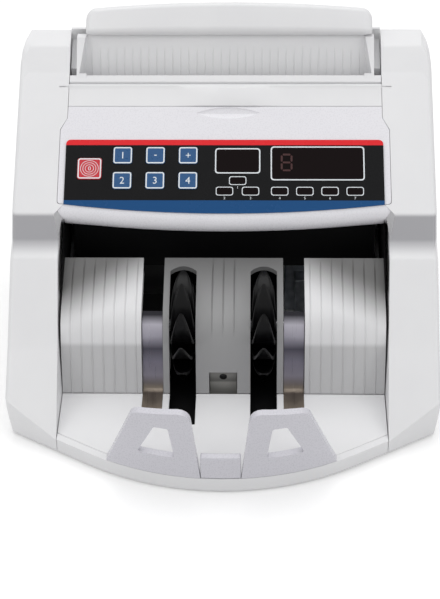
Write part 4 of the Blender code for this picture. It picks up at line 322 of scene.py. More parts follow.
def printedFilm(name):
    # Polycarbonate film, printed on its back: deep even colour under a smooth satin face, with crisp band edges
    material, tree, shader = newFinish(name, IOR=1.58, Specular_IOR_Level=0.16)
    place = objectPlace(tree)
    local = addNode(tree, "ShaderNodeMapping", {"Vector": place, "Location": (0, *panelValues["labelTop"]),
                                                "Rotation": (panelValues["angle"], 0, 0)}, vector_type="TEXTURE")
    height = addNode(tree, "ShaderNodeSeparateXYZ", {0: local.outputs[0]}).outputs["Y"]
    isRed = calculate(tree, "GREATER_THAN", height, -panelValues["redBand"])
    isBlue = calculate(tree, "LESS_THAN", height, -panelValues["blueStart"])
    lower = blend(tree, isBlue, linear(filmValues["black"]), linear(filmValues["blue"]))
    tree.links.new(blend(tree, isRed, lower, linear(filmValues["red"])), shader.inputs["Base Color"])
    setPolish(tree, shader, noise(tree, place, 14 * mm, 4.0), 0.18, 0.34)
    return material


def printedInk(name, hexColour, roughness=0.35):
    # Screen-printed ink: opaque and a little uneven in gloss
    material, tree, shader = newFinish(name, IOR=1.5, Base_Color=linear(hexColour))
    setPolish(tree, shader, noise(tree, objectPlace(tree), 2.5 * mm, 3.0), roughness - 0.06, roughness + 0.08)
    return material


def smokedAcrylic(name):
    # Tinted cast acrylic: nearly black with a red-brown tinge, glass-smooth, with faint polishing haze
    material, tree, shader = newFinish(name, IOR=1.49, Base_Color=linear(filmValues["window"]),
                                       Specular_IOR_Level=0.12)
    setPolish(tree, shader, noise(tree, objectPlace(tree), 9 * mm, 3.0), 0.06, 0.14)
    return material


# Finishes of rubber, metal and boards
rubberGrain = 0.7 * mm
# tones of the guide strips by height (mm): painted shade and a painted highlight, browner at the floor
stripTones = dict(heights=[14, 17, 24, 33, 42, 50, 57, 61],
                  colours=["#6E655A", "#7B7269", "#9C98A2", "#8A8793", "#5A5862", "#B2AFBB", "#C4C1CC", "#3A393E"])


def mouldedRubber(name, hexColour, shadeHex, roughness, gloss=0.5):
    # Moulded nitrile rubber: matt, slightly dusty on top of a fine sanded grain
    material, tree, shader = newFinish(name, IOR=1.52, Specular_IOR_Level=gloss)
    place = objectPlace(tree)
    tone = blend(tree, noise(tree, place, 11 * mm, 5.0), linear(hexColour), linear(shadeHex))
    fine = noise(tree, place, rubberGrain)
    tree.links.new(tone, shader.inputs["Base Color"])
    setPolish(tree, shader, fine, roughness - 0.08, roughness + 0.1)
    setRelief(tree, shader, fine, 0.03 * mm)
    return material


def brushLines(tree, spacings):
    # scratches: a noise with its own feature size (m) along each axis
    stretch = addNode(tree, "ShaderNodeMapping", {"Vector": objectPlace(tree),
                                                  "Scale": [1 / spacing for spacing in spacings]})
    return noise(tree, stretch.outputs[0], 1.0, 3.0)


def groundSteel(name, hexColour, roughness, spacings):
    # Ground stainless steel: fine parallel scratches, drawn about 0.5 mm apart so that they show, stretch the
    # highlights across them
    material, tree, shader = newFinish(name, Metallic=1.0, Base_Color=linear(hexColour), Anisotropic=0.5)
    scratch = brushLines(tree, spacings)
    setPolish(tree, shader, scratch, roughness - 0.08, roughness + 0.12)
    setRelief(tree, shader, scratch, 0.006 * mm, 0.4)
    return material


def wornStrip(name, heights, colours):
    # Brushed steel strip. Its tone follows the height (mm): painted shade at the top and in a band at 42 mm,
    # a painted highlight at 50 to 57 mm, and browner down at the floor. The brush lines run up the strip.
    material, tree, shader = newFinish(name, Metallic=1.0, Anisotropic=0.4)
    height = addNode(tree, "ShaderNodeSeparateXYZ", {0: objectPlace(tree)}).outputs["Z"]
    share = addNode(tree, "ShaderNodeMapRange", {"Value": height, "From Min": heights[0] * mm,
                                                 "From Max": heights[-1] * mm})
    tone = addNode(tree, "ShaderNodeValToRGB", {0: share.outputs[0]})
    ramp = tone.color_ramp
    for index, (level, hexColour) in enumerate(zip(heights, colours)):
        spot = (level - heights[0]) / (heights[-1] - heights[0])
        stop = ramp.elements[index] if index < 2 else ramp.elements.new(spot)
        stop.position = spot
        stop.color = linear(hexColour)
    tree.links.new(tone.outputs[0], shader.inputs["Base Color"])
    setPolish(tree, shader, brushLines(tree, (0.6 * mm, 30 * mm, 30 * mm)), 0.2, 0.42)
    return material


def zincPlate(name):
    # Electro-zinc plated sheet: cool grey metal with soft cloudy crystals a few millimetres wide
    material, tree, shader = newFinish(name, Metallic=1.0)
    crystal = addNode(tree, "ShaderNodeTexVoronoi", {"Vector": objectPlace(tree), "Scale": 1 / (5 * mm)})
    tone = blend(tree, crystal.outputs["Distance"], linear("#B9BDC2"), linear("#9A9FA6"))
    tree.links.new(tone, shader.inputs["Base Color"])
    setPolish(tree, shader, crystal.outputs["Distance"], 0.36, 0.5)
    return material


def solderMask(name):
    # Glass-fibre board under green solder mask: the copper tracks show as slightly paler, raised lines
    material, tree, shader = newFinish(name, IOR=1.5, Roughness=0.3)
    tracks = addNode(tree, "ShaderNodeTexBrick", {"Vector": objectPlace(tree), "Scale": 1 / (6 * mm),
                                                  "Color1": linear("#14512C"), "Color2": linear("#17602F"),
                                                  "Mortar": linear("#2D8C4C"), "Mortar Size": 0.06})
    tree.links.new(tracks.outputs["Color"], shader.inputs["Base Color"])
    setRelief(tree, shader, tracks.outputs["Fac"], 0.03 * mm)
    return material


etchedWhiteAbs = whiteAbs("etchedWhiteAbs")
polishedWhiteAbs = mouldedAbs("polishedWhiteAbs", plasticValues["gloss"], plasticValues["glossShade"],
                              plasticValues["glossRoughness"], plasticValues["polished"])
# painted shade by place: on the plates, the centre plate, the casings' shoulders and the sensor
plateAbs = whiteAbs("shadedPlateAbs", paintedShadeValues["plates"])
centreAbs = whiteAbs("shadedCentreAbs", paintedShadeValues["centre"])
cheekAbs = whiteAbs("shadedCasingAbs", paintedShadeValues["cheeks"])
sensorAbs = mouldedAbs("greySensorAbs", "#94938F", "#8E8D89", 0.5, plasticValues["etched"],
                       paintedShade=paintedShadeValues["sensor"])
rearAbs = louvredAbs("louvredWhiteAbs", louvreValues)
# the pocket stops: a darker, lilac-grey copy of the polished white, painted shade of their front faces
stopAbs = mouldedAbs("shadedStopAbs", "#CDCCD3", "#C7C6CD", plasticValues["glossRoughness"],
                     plasticValues["polished"])
blackAbs = mouldedAbs("etchedBlackAbs", "#17171A", "#121214", 0.42, plasticValues["etched"])
# near-black sheets: painted shade behind the opening and the wheels
shadeBlackLining = mouldedAbs("shadeBlackLining", "#050506", "#030304", 0.7, plasticValues["etched"], gloss=0.12)
# near-black steel for the side plates and motor: painted shade of the machine's dark inside
interiorShadeSteel = mouldedAbs("shadeBlackSteel", "#0C0C0E", "#08080A", 0.55, 0.01 * mm)
labelFilm = printedFilm("printedPolycarbonateFilm")
whiteInk = printedInk("whiteScreenInk", filmValues["outline"])
keyBlueFilm = printedInk("blueKeyFilm", filmValues["key"], 0.28)
keyRedFilm = printedInk("redKeyFilm", filmValues["keyRed"], 0.28)
digitInk = printedInk("unlitRedSegments", filmValues["digit"], 0.4)
smokedWindow = smokedAcrylic("smokedAcrylic")
blackRubber = mouldedRubber("blackNitrileRubber", "#020203", "#050506", 0.36, 0.22)
greyRubber = mouldedRubber("greyPolyurethaneRubber", "#6D6D70", "#5C5C5F", 0.6)
shaftSteel = groundSteel("groundShaftSteel", "#B4B4B9", 0.26, (0.5 * mm, 30 * mm, 0.5 * mm))
stripSteel = wornStrip("brushedStripSteel", **stripTones)
platedSteel = zincPlate("zincPlatedSheet")
boardMask = solderMask("greenSolderMask")
slotFinish = dict(white_plastic=etchedWhiteAbs, panel_plastic=polishedWhiteAbs, label_black=labelFilm,
                  key_blue=keyBlueFilm, key_red=keyRedFilm, smoked_window=smokedWindow, black_rubber=blackRubber,
                  grey_rubber=greyRubber, bright_steel=shaftSteel, zinc_steel=platedSteel, board_green=boardMask,
                  black_plastic=blackAbs)
ownFinish = dict(guide_strip_left=stripSteel, guide_strip_right=stripSteel, stacker_plate_left=plateAbs,
                 stacker_plate_right=plateAbs, stacker_plate_centre=centreAbs, stack_sensor=sensorAbs,
                 side_casing_left=cheekAbs, side_casing_right=cheekAbs, side_plate_left=interiorShadeSteel,
                 side_plate_right=interiorShadeSteel, drive_motor=interiorShadeSteel, pocket_stop_left=stopAbs,
                 pocket_stop_right=stopAbs, pocket_stop_centre=stopAbs, rear_cover=rearAbs)
nodeFinish = {node: ownFinish.get(node, slotFinish[slot]) for node, slot in nodeSlot.items()}
for node, solid in frame["nodes"].items():
    solid.data.materials.clear()
    solid.data.materials.append(nodeFinish[node])
print("finishes made:", len(slotFinish))


# Solids that keep their CAD form, with round shading and broken edges: node, edge radius (mm) and its steps
edgeValues = dict(
    side_casing_left=(0.5, 2), side_casing_right=(0.5, 2), base_tray=(0.5, 2), panel_cover=(0.3, 2),
    control_label=(0.0, 0), top_flap=(0.3, 2), hopper_frame=(0.35, 2), stacker_floor=(0.3, 1),
    stacker_plate_left=(0.2, 1), stacker_plate_right=(0.2, 1), stacker_plate_centre=(0.2, 1), stack_sensor=(0.4, 2),
    pocket_stop_left=(0.9, 3), pocket_stop_right=(0.9, 3), pocket_stop_centre=(0.9, 3), count_window=(0.15, 1),
    batch_window=(0.15, 1), indicator_lenses=(0.12, 1), reset_key=(0.25, 2), batch_key=(0.25, 2), minus_key=(0.25, 2),
    plus_key=(0.25, 2), magnetic_key=(0.25, 2), ultraviolet_key=(0.25, 2), add_key=(0.25, 2), rear_cover=(0.6, 2),
    rear_panel=(0.5, 2), power_inlet=(0.4, 2), switch_body=(0.4, 2), power_rocker=(0.4, 2), fuse_holder=(0.4, 2),
    display_socket=(0.4, 2), gap_screw=(0.3, 2), friction_rollers=(0.3, 2), feed_rollers=(0.3, 2),
    pickup_rollers=(0.3, 2), detector_bar=(0.4, 2), cover_hinge_pin=(0.2, 1), foot_front_left=(0.3, 2),
    foot_front_right=(0.3, 2), foot_rear_left=(0.3, 2), foot_rear_right=(0.3, 2), impeller_shaft=(0.2, 1),
    feed_shaft=(0.2, 1), pickup_shaft=(0.2, 1), drive_motor=(0.6, 2), transformer=(0.6, 2),
)
mergeValues = dict(doubles=2e-6, flat=math.radians(0.3), soft=math.radians(32.0), whole="stacker_plate_centre")


def mergedCopy(node, radius, steps, values):
    # A copy of a solid with its doubles merged and its flat triangles joined, edges under the soft angle shaded
    # round, and the sharp ones broken by a small radius, as a moulding tool leaves them. The slotted plate keeps
    # its triangles, because a joined face round a slot would close it.
    source = frame["nodes"][node]
    edit = bmesh.new()
    edit.from_mesh(source.data)
    bmesh.ops.remove_doubles(edit, verts=edit.verts, dist=values["doubles"])
    bmesh.ops.dissolve_degenerate(edit, edges=edit.edges, dist=values["doubles"])
    if node != values["whole"]:
        bmesh.ops.dissolve_limit(edit, angle_limit=values["flat"], verts=edit.verts, edges=edit.edges)
    for face in edit.faces:
        face.smooth = True
    for edge in edit.edges:
        edge.smooth = edge.calc_face_angle(0.0) < values["soft"]
    first, *others = node.split("_")
    mesh = bpy.data.meshes.new(first + "".join(word.capitalize() for word in others))
    edit.to_mesh(mesh)
    edit.free()
    piece = addPiece(mesh, nodeFinish[node], source["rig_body"], node)
    if radius:
        rounding = piece.modifiers.new("edgeRadius", "BEVEL")
        rounding.width, rounding.segments = radius, steps
        rounding.limit_method, rounding.angle_limit = "ANGLE", values["soft"]
        rounding.use_clamp_overlap = rounding.harden_normals = True
    piece.modifiers.new("faceWeights", "WEIGHTED_NORMAL").keep_sharp = True
    return piece


# The lip's ends reach past the opening, and the casings draw back there: outward moves by height, all in mm
flareValues = dict(
    casing=dict(wall=107.3, deepest=24, heights=[0, 20, 50, 90, 97.5, 109, 112.5, 113],
                moves=[0, 0, 1.2, 2.6, 3.0, 6.2, 6.2, 0]),
    lip=dict(wall=107.0, deepest=31, heights=[0, 114.4, 114.8], moves=[6.2, 6.2, 0]),
)


def flareEdge(piece, wall, deepest, heights, moves):
    # points on the wall |x| = wall, in front of the deepest y, go outward by a value read off between the heights
    spots = np.empty(len(piece.data.vertices) * 3)
    piece.data.vertices.foreach_get("co", spots)
    spots = spots.reshape(-1, 3)
    chosen = (np.abs(np.abs(spots[:, 0]) - wall * mm) < 0.1 * mm) & (spots[:, 1] < deepest * mm)
    spots[:, 0] += np.sign(spots[:, 0]) * np.interp(spots[:, 2] / mm, heights, moves) * mm * chosen
    piece.data.vertices.foreach_set("co", spots.ravel())
    piece.data.update()


dressed = {node: mergedCopy(node, radius * mm, steps, mergeValues) for node, (radius, steps) in edgeValues.items()}
flareEdge(dressed["side_casing_left"], **flareValues["casing"])
flareEdge(dressed["side_casing_right"], **flareValues["casing"])
flareEdge(dressed["panel_cover"], **flareValues["lip"])
print("solids dressed:", len(dressed))


# Shapes carried along a path
def roundedProfile(corners, steps=8):
    # each corner is (a, b, radius): an arc between the points where the two sides touch a circle of that radius
    spots = np.array([corner[:2] for corner in corners], float)
    radii = np.array([corner[2] for corner in corners], float)
    before, after = np.roll(spots, 1, axis=0) - spots, np.roll(spots, -1, axis=0) - spots
    before /= np.linalg.norm(before, axis=1, keepdims=True)
    after /= np.linalg.norm(after, axis=1, keepdims=True)
    halfTurn = np.arccos(np.clip((before * after).sum(axis=1), -1, 1)) / 2
    reach = radii / np.tan(halfTurn)
    share = np.linspace(0, 1, steps + 1)[None, :, None]
    start, end = spots + before * reach[:, None], spots + after * reach[:, None]
    inwards = (before + after) / np.linalg.norm(before + after, axis=1, keepdims=True)
    middle = spots + inwards * (radii / np.sin(halfTurn))[:, None]
    fan = (start - middle)[:, None] * (1 - share) + (end - middle)[:, None] * share
    fan *= radii[:, None, None] / np.maximum(np.linalg.norm(fan, axis=2, keepdims=True), 1e-9)
    return (middle[:, None] + fan).reshape(-1, 2)


def smoothPath(points, steps=6):
    # Catmull-Rom curve: between two points, half the cubic of those two and the ones outside them
    knots = np.asarray(points, float)
    knots = np.concatenate([2 * knots[:1] - knots[1:2], knots, 2 * knots[-1:] - knots[-2:-1]])
    t = np.linspace(0, 1, steps, endpoint=False)[None, :, None]
    a, b, c, d = (knots[index:len(knots) - 3 + index, None] for index in range(4))
    curve = 0.5 * (2 * b + (c - a) * t + (2 * a - 5 * b + 4 * c - d) * t ** 2 + (3 * b - a - 3 * c + d) * t ** 3)
    return np.concatenate([curve.reshape(-1, 2), knots[-2:-1]])


def awayFrom(line):
    # unit vectors square to a line of (y, z) points: its own direction, turned by a quarter
    run = np.gradient(line, axis=0)
    run /= np.linalg.norm(run, axis=1, keepdims=True)
    return np.column_stack([-run[:, 1], run[:, 0]])


def loftPiece(name, rings, finish, body, node):
    # rings is (stations, points, 3): quads between stations, and one flat face to close each end
    stations, count, _ = rings.shape
    faces = gridFaces(stations, count, closeColumns=True).tolist()
    faces += [list(range(count)), list(range((stations - 1) * count, stations * count))]
    mesh = newMesh(name, rings.reshape(-1, 3), faces)
    faceOutwards(mesh, 35)
    return addPiece(mesh, finish, body, node)


rollValues = dict(centre=2.5 * mm, half=98.6 * mm, endRadius=7.0 * mm, crown=5.0 * mm, depth=14.2 * mm,
                  rear=130.0 * mm, bottom=191.8 * mm, top=211.0 * mm, endSteps=13, middleSteps=39,
                  corners=[(0, 0, 0.001), (0, 1, 0.1), (0.32, 1.0, 0.25), (1.0, 0.28, 0.24), (0.9, 0.0, 0.08)])


def hopperRoll(values):
    # The cross-section is a rounded outline in shares of depth and height. Towards each end it draws in by
    # tuck = R - R cos a while x moves on by R sin a, and its top falls by crown times the square of the share.
    R, half = values["endRadius"], values["half"]
    height = values["top"] - values["bottom"]
    profile = roundedProfile(values["corners"])
    end = np.linspace(math.pi / 2, 0, values["endSteps"])
    straight = np.linspace(-half + R, half - R, values["middleSteps"] + 2)[1:-1]
    x = np.concatenate([-half + R - R * np.sin(end), straight, half - R + R * np.sin(end[::-1])])
    tuck = np.concatenate([R - R * np.cos(end), np.zeros(len(straight)), R - R * np.cos(end[::-1])])
    tall = height - values["crown"] * (x / half) ** 2 - tuck
    y = values["rear"] - tuck[:, None] / 2 - profile[:, 0] * (values["depth"] - tuck[:, None])
    z = values["bottom"] + profile[:, 1] * tall[:, None]
    rings = np.stack([np.broadcast_to(values["centre"] + x[:, None], y.shape), y, z], axis=2)
    loftPiece("hopperRoll", rings, etchedWhiteAbs, "rear_cover_unit", "hopper_roll")


stripValues = dict(inner=40.05 * mm, outer=53.55 * mm, thickness=0.8 * mm, edge=0.15 * mm, path=[
    (-25.0, 62.5), (-32.1, 57.5), (-36.2, 50.1), (-39.6, 41.5), (-42.6, 32.4), (-45.4, 23.6), (-48.0, 17.6),
    (-51.5, 15.75), (-56.0, 15.4), (-62.0, 15.1), (-71.0, 14.62)])


def guideStrip(side, values):
    # a flat band: each path point and the same point moved back, square to the path, by the thickness
    line = smoothPath(values["path"]) * mm
    back = line + awayFrom(line) * values["thickness"]
    corners = [np.column_stack([np.full(len(edge), side * values[place]), edge])
               for place, edge in (("inner", line), ("outer", line), ("outer", back), ("inner", back))]
    word = sideWord(side)
    piece = loftPiece("guideStrip" + word.capitalize(), np.stack(corners, axis=1), stripSteel, "chassis",
                      "guide_strip_" + word)
    rounding = piece.modifiers.new("edgeRadius", "BEVEL")
    rounding.width, rounding.segments, rounding.limit_method = values["edge"], 2, "ANGLE"


hopperRoll(rollValues)
for side in (-1, 1):
    guideStrip(side, stripValues)
print("roll and guide strips made")


# Print on the label and keys
def roundedLoop(width, height, radius, steps=6):
    # points of a rounded box: each corner's centre plus radius times (cos a, sin a) over its quarter turn
    quarter = np.linspace(0, math.pi / 2, steps + 1)
    turns = np.concatenate([quarter + index * math.pi / 2 for index in range(4)])
    signs = np.repeat(np.array([[1, 1], [-1, 1], [-1, -1], [1, -1]]), steps + 1, axis=0)
    centres = signs * np.array([width / 2 - radius, height / 2 - radius])
    return centres + radius * np.stack([np.cos(turns), np.sin(turns)], axis=1)


def printedLoop(centre, size, radius, line, level):
    # a closed line of ink: the rounded box and the same box smaller by the line's width on each side
    width, height = size
    outer = roundedLoop(width, height, radius)
    inner = roundedLoop(width - 2 * line, height - 2 * line, max(radius - line, 0.05 * mm))
    points = onPanel(np.concatenate([inner, outer]) + np.asarray(centre), level)
    return points, gridFaces(2, len(outer), closeColumns=True)


def printedMark(text, centre, size, level):
    # a plain mark in Blender's own type, laid flat on the panel
    curve = bpy.data.curves.new("markShape", "FONT")
    curve.body, curve.size, curve.resolution_u = text, size, 3
    curve.align_x = curve.align_y = "CENTER"
    shape = bpy.data.objects.new("markShape", curve)
    mesh = bpy.data.meshes.new_from_object(shape)
    mesh.calc_loop_triangles()
    flat = np.empty(len(mesh.vertices) * 3)
    mesh.vertices.foreach_get("co", flat)
    corners = np.empty(len(mesh.loop_triangles) * 3, int)
    mesh.loop_triangles.foreach_get("vertices", corners)
    flat = flat.reshape(-1, 3)[:, :2]
    bpy.data.objects.remove(shape)
    middle = (flat.min(axis=0) + flat.max(axis=0)) / 2
    return onPanel(flat - middle + np.asarray(centre), level), corners.reshape(-1, 3)


def joinedMesh(name, parts):
    # each part is its points and one or more arrays of faces, each array with its own number of corners
    points, faces, start = [], [], 0
    for partPoints, *groups in parts:
        points.append(partPoints)
        for group in groups:
            faces.extend((np.asarray(group) + start).tolist())
        start += len(partPoints)
    return newMesh(name, np.concatenate(points), faces)


inkLevel = panelValues["filmFace"] + 0.03 * mm
keyLevel = panelValues["filmFace"] + 0.52 * mm
figureLevel = panelValues["filmFace"] + 0.33 * mm
keyValues = dict(
    marks=dict(batch_key=("1", 0, 0), minus_key=("-", 1, 0), plus_key=("+", 2, 0), magnetic_key=("2", 0, 1),
               ultraviolet_key=("3", 1, 1), add_key=("4", 2, 1)),
    first=(-0.6384, 0.2473), pitch=(0.2060, 0.3892), outline=(12.415 * mm, 11.7465 * mm), corner=1.6 * mm,
    line=0.85 * mm, mark=7.0 * mm,
)
resetValues = dict(place=(-0.8453, 0.4538), outline=(15.7575 * mm, 14.6115 * mm), corner=1.8 * mm, line=0.85 * mm,
                   rings=(3.0 * mm, 4.6 * mm, 6.2 * mm), squash=0.93, ringCorner=0.92, ringLine=0.35 * mm,
                   mark=4.2 * mm)
windowValues = dict(places=[(0.5853, 0.3677, 0.5732, 0.4946), (0.0848, 0.3290, 0.2703, 0.3613)], margin=1.5 * mm,
                    corner=2.2 * mm, line=0.9 * mm)
indicatorValues = dict(
    places=[(0.0857, 0.6366), (0.0037, 0.7978), (0.1659, 0.7978), (0.3476, 0.7978), (0.5042, 0.7978),
            (0.6608, 0.7978), (0.8173, 0.7978)],
    outline=(11.6 * mm, 6.2 * mm), corner=1.6 * mm, line=0.8 * mm, mark=2.6 * mm, markDrop=4.9 * mm)
figureValues = dict(size=(6.6 * mm, 11.4 * mm), centre=(42.0 * mm, -16.6 * mm), upright=(1.3 * mm, 4.4 * mm),
                    level=(5.2 * mm, 1.3 * mm), corner=0.5 * mm,
                    segments=[(0, 1, "level"), (0, 0, "level"), (0, -1, "level"), (-1, 0.5, "upright"),
                              (1, 0.5, "upright"), (-1, -0.5, "upright"), (1, -0.5, "upright")])


def keyPrint(node, values):
    # the key's outline and its mark; keys stand in columns and rows from the first one
    mark, column, row = values["marks"][node]
    centre = onLabel(values["first"][0] + column * values["pitch"][0], values["first"][1] + row * values["pitch"][1])
    parts = [printedLoop(centre, values["outline"], values["corner"], values["line"], keyLevel),
             printedMark(mark, centre, values["mark"], keyLevel)]
    addPiece(joinedMesh(node.split("_")[0] + "KeyPrint", parts), whiteInk, node)


def resetPrint(values):
    # an outline, rings inside it that are a little wider than tall, and a mark in the middle
    centre = onLabel(*values["place"])
    parts = [printedLoop(centre, values["outline"], values["corner"], values["line"], keyLevel)]
    for reach in values["rings"]:
        size = (2 * reach, 2 * reach * values["squash"])
        parts.append(printedLoop(centre, size, reach * values["ringCorner"], values["ringLine"], keyLevel))
    parts.append(printedMark("0", centre, values["mark"], keyLevel))
    addPiece(joinedMesh("resetKeyPrint", parts), whiteInk, "reset_key")


def labelPrint(windows, indicators):
    # outlines a margin larger than the windows, and a numbered outline round each indicator
    parts = []
    for x, drop, width, height in windows["places"]:
        size = (width * panelValues["labelHalf"] + windows["margin"],
                height * panelValues["labelHeight"] + windows["margin"])
        parts.append(printedLoop(onLabel(x, drop), size, windows["corner"], windows["line"], inkLevel))
    for number, place in enumerate(indicators["places"], 1):
        x, y = onLabel(*place)
        parts.append(printedLoop((x, y), indicators["outline"], indicators["corner"], indicators["line"], inkLevel))
        parts.append(printedMark(str(number), (x, y - indicators["markDrop"]), indicators["mark"], inkLevel))
    addPiece(joinedMesh("labelPrint", parts), whiteInk, "chassis")


def unlitFigure(values):
    # seven rounded bars, each at its shares of the figure's half width and half height from the centre
    parts = []
    for acrossShare, upShare, kind in values["segments"]:
        spot = (values["centre"][0] + acrossShare * values["size"][0] / 2,
                values["centre"][1] + upShare * values["size"][1] / 2)
        flat = roundedLoop(*values[kind], values["corner"]) + np.array(spot)
        parts.append((onPanel(flat, figureLevel), np.arange(len(flat))[None, :]))
    addPiece(joinedMesh("unlitFigure", parts), digitInk, "chassis")


for node in keyValues["marks"]:
    keyPrint(node, keyValues)
resetPrint(resetValues)
labelPrint(windowValues, indicatorValues)
unlitFigure(figureValues)
print("label and keys printed")


# Stacking wheels, in place of the plainer CAD ones
wheelValues = dict(
    axis=(-22.0 * mm, 48.0 * mm), middle=26.8 * mm, halfWidth=8.2 * mm, hub=12.0 * mm, root=10.5 * mm,
    bore=4.4 * mm, tip=36.6 * mm, sweep=math.radians(62.0), curl=1.3, start=0.2, blades=10, thickness=1.9 * mm,
    thinning=0.55, rim=0.55 * mm, rimFade=3 * mm, chamfer=0.6 * mm, bladeSteps=29, hubSteps=48,
    acrossShares=[-1, -0.97, -0.91, -0.84, -0.6, 0, 0.6, 0.84, 0.91, 0.97, 1],
    beadShares=[0.3, 0.9, 1.0, 0.45, 0.1, 0, 0.1, 0.45, 1.0, 0.9, 0.3])


def bladePart(turn, side, values):
    # A band on a curve: radius = root + (tip - root) s, angle = turn - sweep s ** curl. Its half width is
    # halfWidth (1 - 0.985 s ** 2.4) ** 0.6, so that it ends in a pointed arch, and a bead runs along its edges.
    s = np.linspace(0, 1, values["bladeSteps"]) ** 0.9
    radius = values["root"] + (values["tip"] - values["root"]) * s
    half = values["halfWidth"] * (1 - 0.985 * s ** 2.4) ** 0.6
    shares = np.array(values["acrossShares"])
    bead = np.array(values["beadShares"]) * values["rim"]
    thick = values["thickness"] * (1 - values["thinning"] * s) / 2
    angle = turn - values["sweep"] * s ** values["curl"]
    line = np.column_stack([np.cos(angle), np.sin(angle)]) * radius[:, None] + np.array(values["axis"])
    away = awayFrom(line)
    rows = []
    for sign, order in ((1, slice(None)), (-1, slice(None, None, -1))):
        x = side * values["middle"] + half[:, None] * shares[order]
        fade = np.minimum(half / values["rimFade"], 1)[:, None]
        lift = sign * (thick[:, None] + bead[order][None, :] * fade)
        rows.append(np.concatenate([x[..., None], line[:, None, :] + away[:, None, :] * lift[..., None]], axis=2))
    rings = np.concatenate(rows, axis=1)
    count = rings.shape[1]
    caps = np.arange(count) + np.array([[0], [(len(s) - 1) * count]])
    return rings.reshape(-1, 3), gridFaces(len(s), count, closeColumns=True), caps


def hubPart(side, values):
    # a chamfered ring round the bore: its outline (radius, x) turned once round the axis
    turn = np.linspace(0, 2 * math.pi, values["hubSteps"], endpoint=False)
    w, r, cut = values["halfWidth"], values["hub"], values["chamfer"]
    outline = [(values["bore"], -w), (r - cut, -w), (r, cut - w), (r, w - cut), (r - cut, w), (values["bore"], w)]
    y, z = values["axis"]
    rings = [np.column_stack([np.full(len(turn), side * values["middle"] + x), y + reach * np.cos(turn),
                              z + reach * np.sin(turn)]) for reach, x in outline]
    return np.concatenate(rings), gridFaces(len(outline), len(turn), True, True)


def stackingWheel(side, values):
    turns = np.linspace(0, 2 * math.pi, values["blades"], endpoint=False) + values["start"]
    word = sideWord(side)
    mesh = joinedMesh("stackingWheel" + word.capitalize(),
                      [bladePart(turn, side, values) for turn in turns] + [hubPart(side, values)])
    faceOutwards(mesh, 50)
    addPiece(mesh, blackRubber, "impeller_unit", "impeller_" + word)


# Thin linings: black sheets of painted shade behind the wheels and the opening, white over the ends of the flap's
# hinge pin
wheelShadeValues = dict(radius=39.5 * mm, axis=(-22.0 * mm, 48.0 * mm), inner=17.2 * mm, outer=36.4 * mm, bore=7.0 * mm,
                  front=-82.6 * mm, bottom=8.5 * mm, wall=0.7 * mm, arc=(50, -90), arcSteps=29, runSteps=6,
                  floorStart=(-54 * mm, 13.0 * mm), floorFall=0.0535, lip=0.4 * mm, lipHeights=(11.4 * mm, 11.5 * mm))
openingShadeValues = dict(reach=102.4 * mm, wall=0.8 * mm,
                   path=[(27.0, 62.0), (28.6, 68.0), (29.6, 80.0), (30.4, 90.0), (31.5, 97.5)])
sideShadeValues = dict(place=107.14 * mm, wall=0.1 * mm, rear=40 * mm, rearHeights=(52 * mm, 100 * mm),
                  front=[(-19.0, 73.0), (-6.5, 87.5), (6.2, 94.8), (9.2, 98.6), (18.6, 106.0)])
coverValues = dict(inner=107.5 * mm, outer=114.0 * mm, wall=0.12 * mm, run=(90.0 * mm, 98.5 * mm),
                   start=(94.7 * mm, 165.16 * mm), slope=0.717)


def liningPiece(name, rows, wall, finish=shadeBlackLining):
    # a sheet through rows of points, given its wall to both sides
    mesh = newMesh(name, np.concatenate(rows), gridFaces(len(rows), len(rows[0])).tolist())
    piece = addPiece(mesh, finish, "chassis")
    thick = piece.modifiers.new("wall", "SOLIDIFY")
    thick.thickness, thick.offset = wall, 0


def atSide(x, edge):
    # (y, z) points at one x
    return np.column_stack([np.full(len(edge), x), edge])


def wheelWell(side, values):
    # A black trough of painted shade: an arc of radius (cos a, sin a) behind and below the wheel, then a flat run to
    # the front, with two side walls that reach from that line in to the bore, or up to the underside of the floor.
    turn = np.radians(np.linspace(*values["arc"], values["arcSteps"]))
    ring = np.column_stack([np.cos(turn), np.sin(turn)])
    run = np.linspace(values["axis"][0], values["front"], values["runSteps"] + 1)[1:]
    floorY, floorZ = values["floorStart"]
    lip = [[values["front"] - values["lip"], height] for height in values["lipHeights"]]
    line = np.concatenate([ring * values["radius"] + values["axis"],
                           np.column_stack([run, np.full(len(run), values["bottom"])]), lip[:1]])
    top = np.concatenate([ring * values["bore"] + values["axis"],
                          np.column_stack([run, floorZ + (run - floorY) * values["floorFall"]]), lip[1:]])
    belowAxis = slice(len(ring) - 3, len(ring))
    top[belowAxis, 1] = np.minimum(top[belowAxis, 1], floorZ)
    rows = [atSide(side * values[place], edge)
            for place, edge in (("inner", top), ("inner", line), ("outer", line), ("outer", top))]
    liningPiece("wheelWell" + sideWord(side).capitalize(), rows, values["wall"])


def noteGuide(values):
    # a curved black plate of painted shade behind the opening: the path's smooth curve, drawn straight across the
    # machine
    line = smoothPath(values["path"]) * mm
    liningPiece("noteGuide", [atSide(x, line) for x in (-values["reach"], values["reach"])], values["wall"])


def sideGuide(side, values):
    # a flat black sheet of painted shade on the inner wall of the casing: straight lines between its front edge and
    # its rear edge
    front = np.array(values["front"]) * mm
    rear = np.column_stack([np.full(len(front), values["rear"]), np.linspace(*values["rearHeights"], len(front))])
    liningPiece("sideGuide" + sideWord(side).capitalize(),
                [atSide(side * values["place"], edge) for edge in (front, rear)], values["wall"])


def hingeCover(side, values):
    # a small flat plate on the casing over the end of the hinge pin: z = start z + slope (y - start y)
    y = np.array(values["run"])
    edge = np.column_stack([y, values["start"][1] + (y - values["start"][0]) * values["slope"]])
    liningPiece("hingeCover" + sideWord(side).capitalize(),
                [atSide(side * values[place], edge) for place in ("inner", "outer")], values["wall"],
                etchedWhiteAbs)


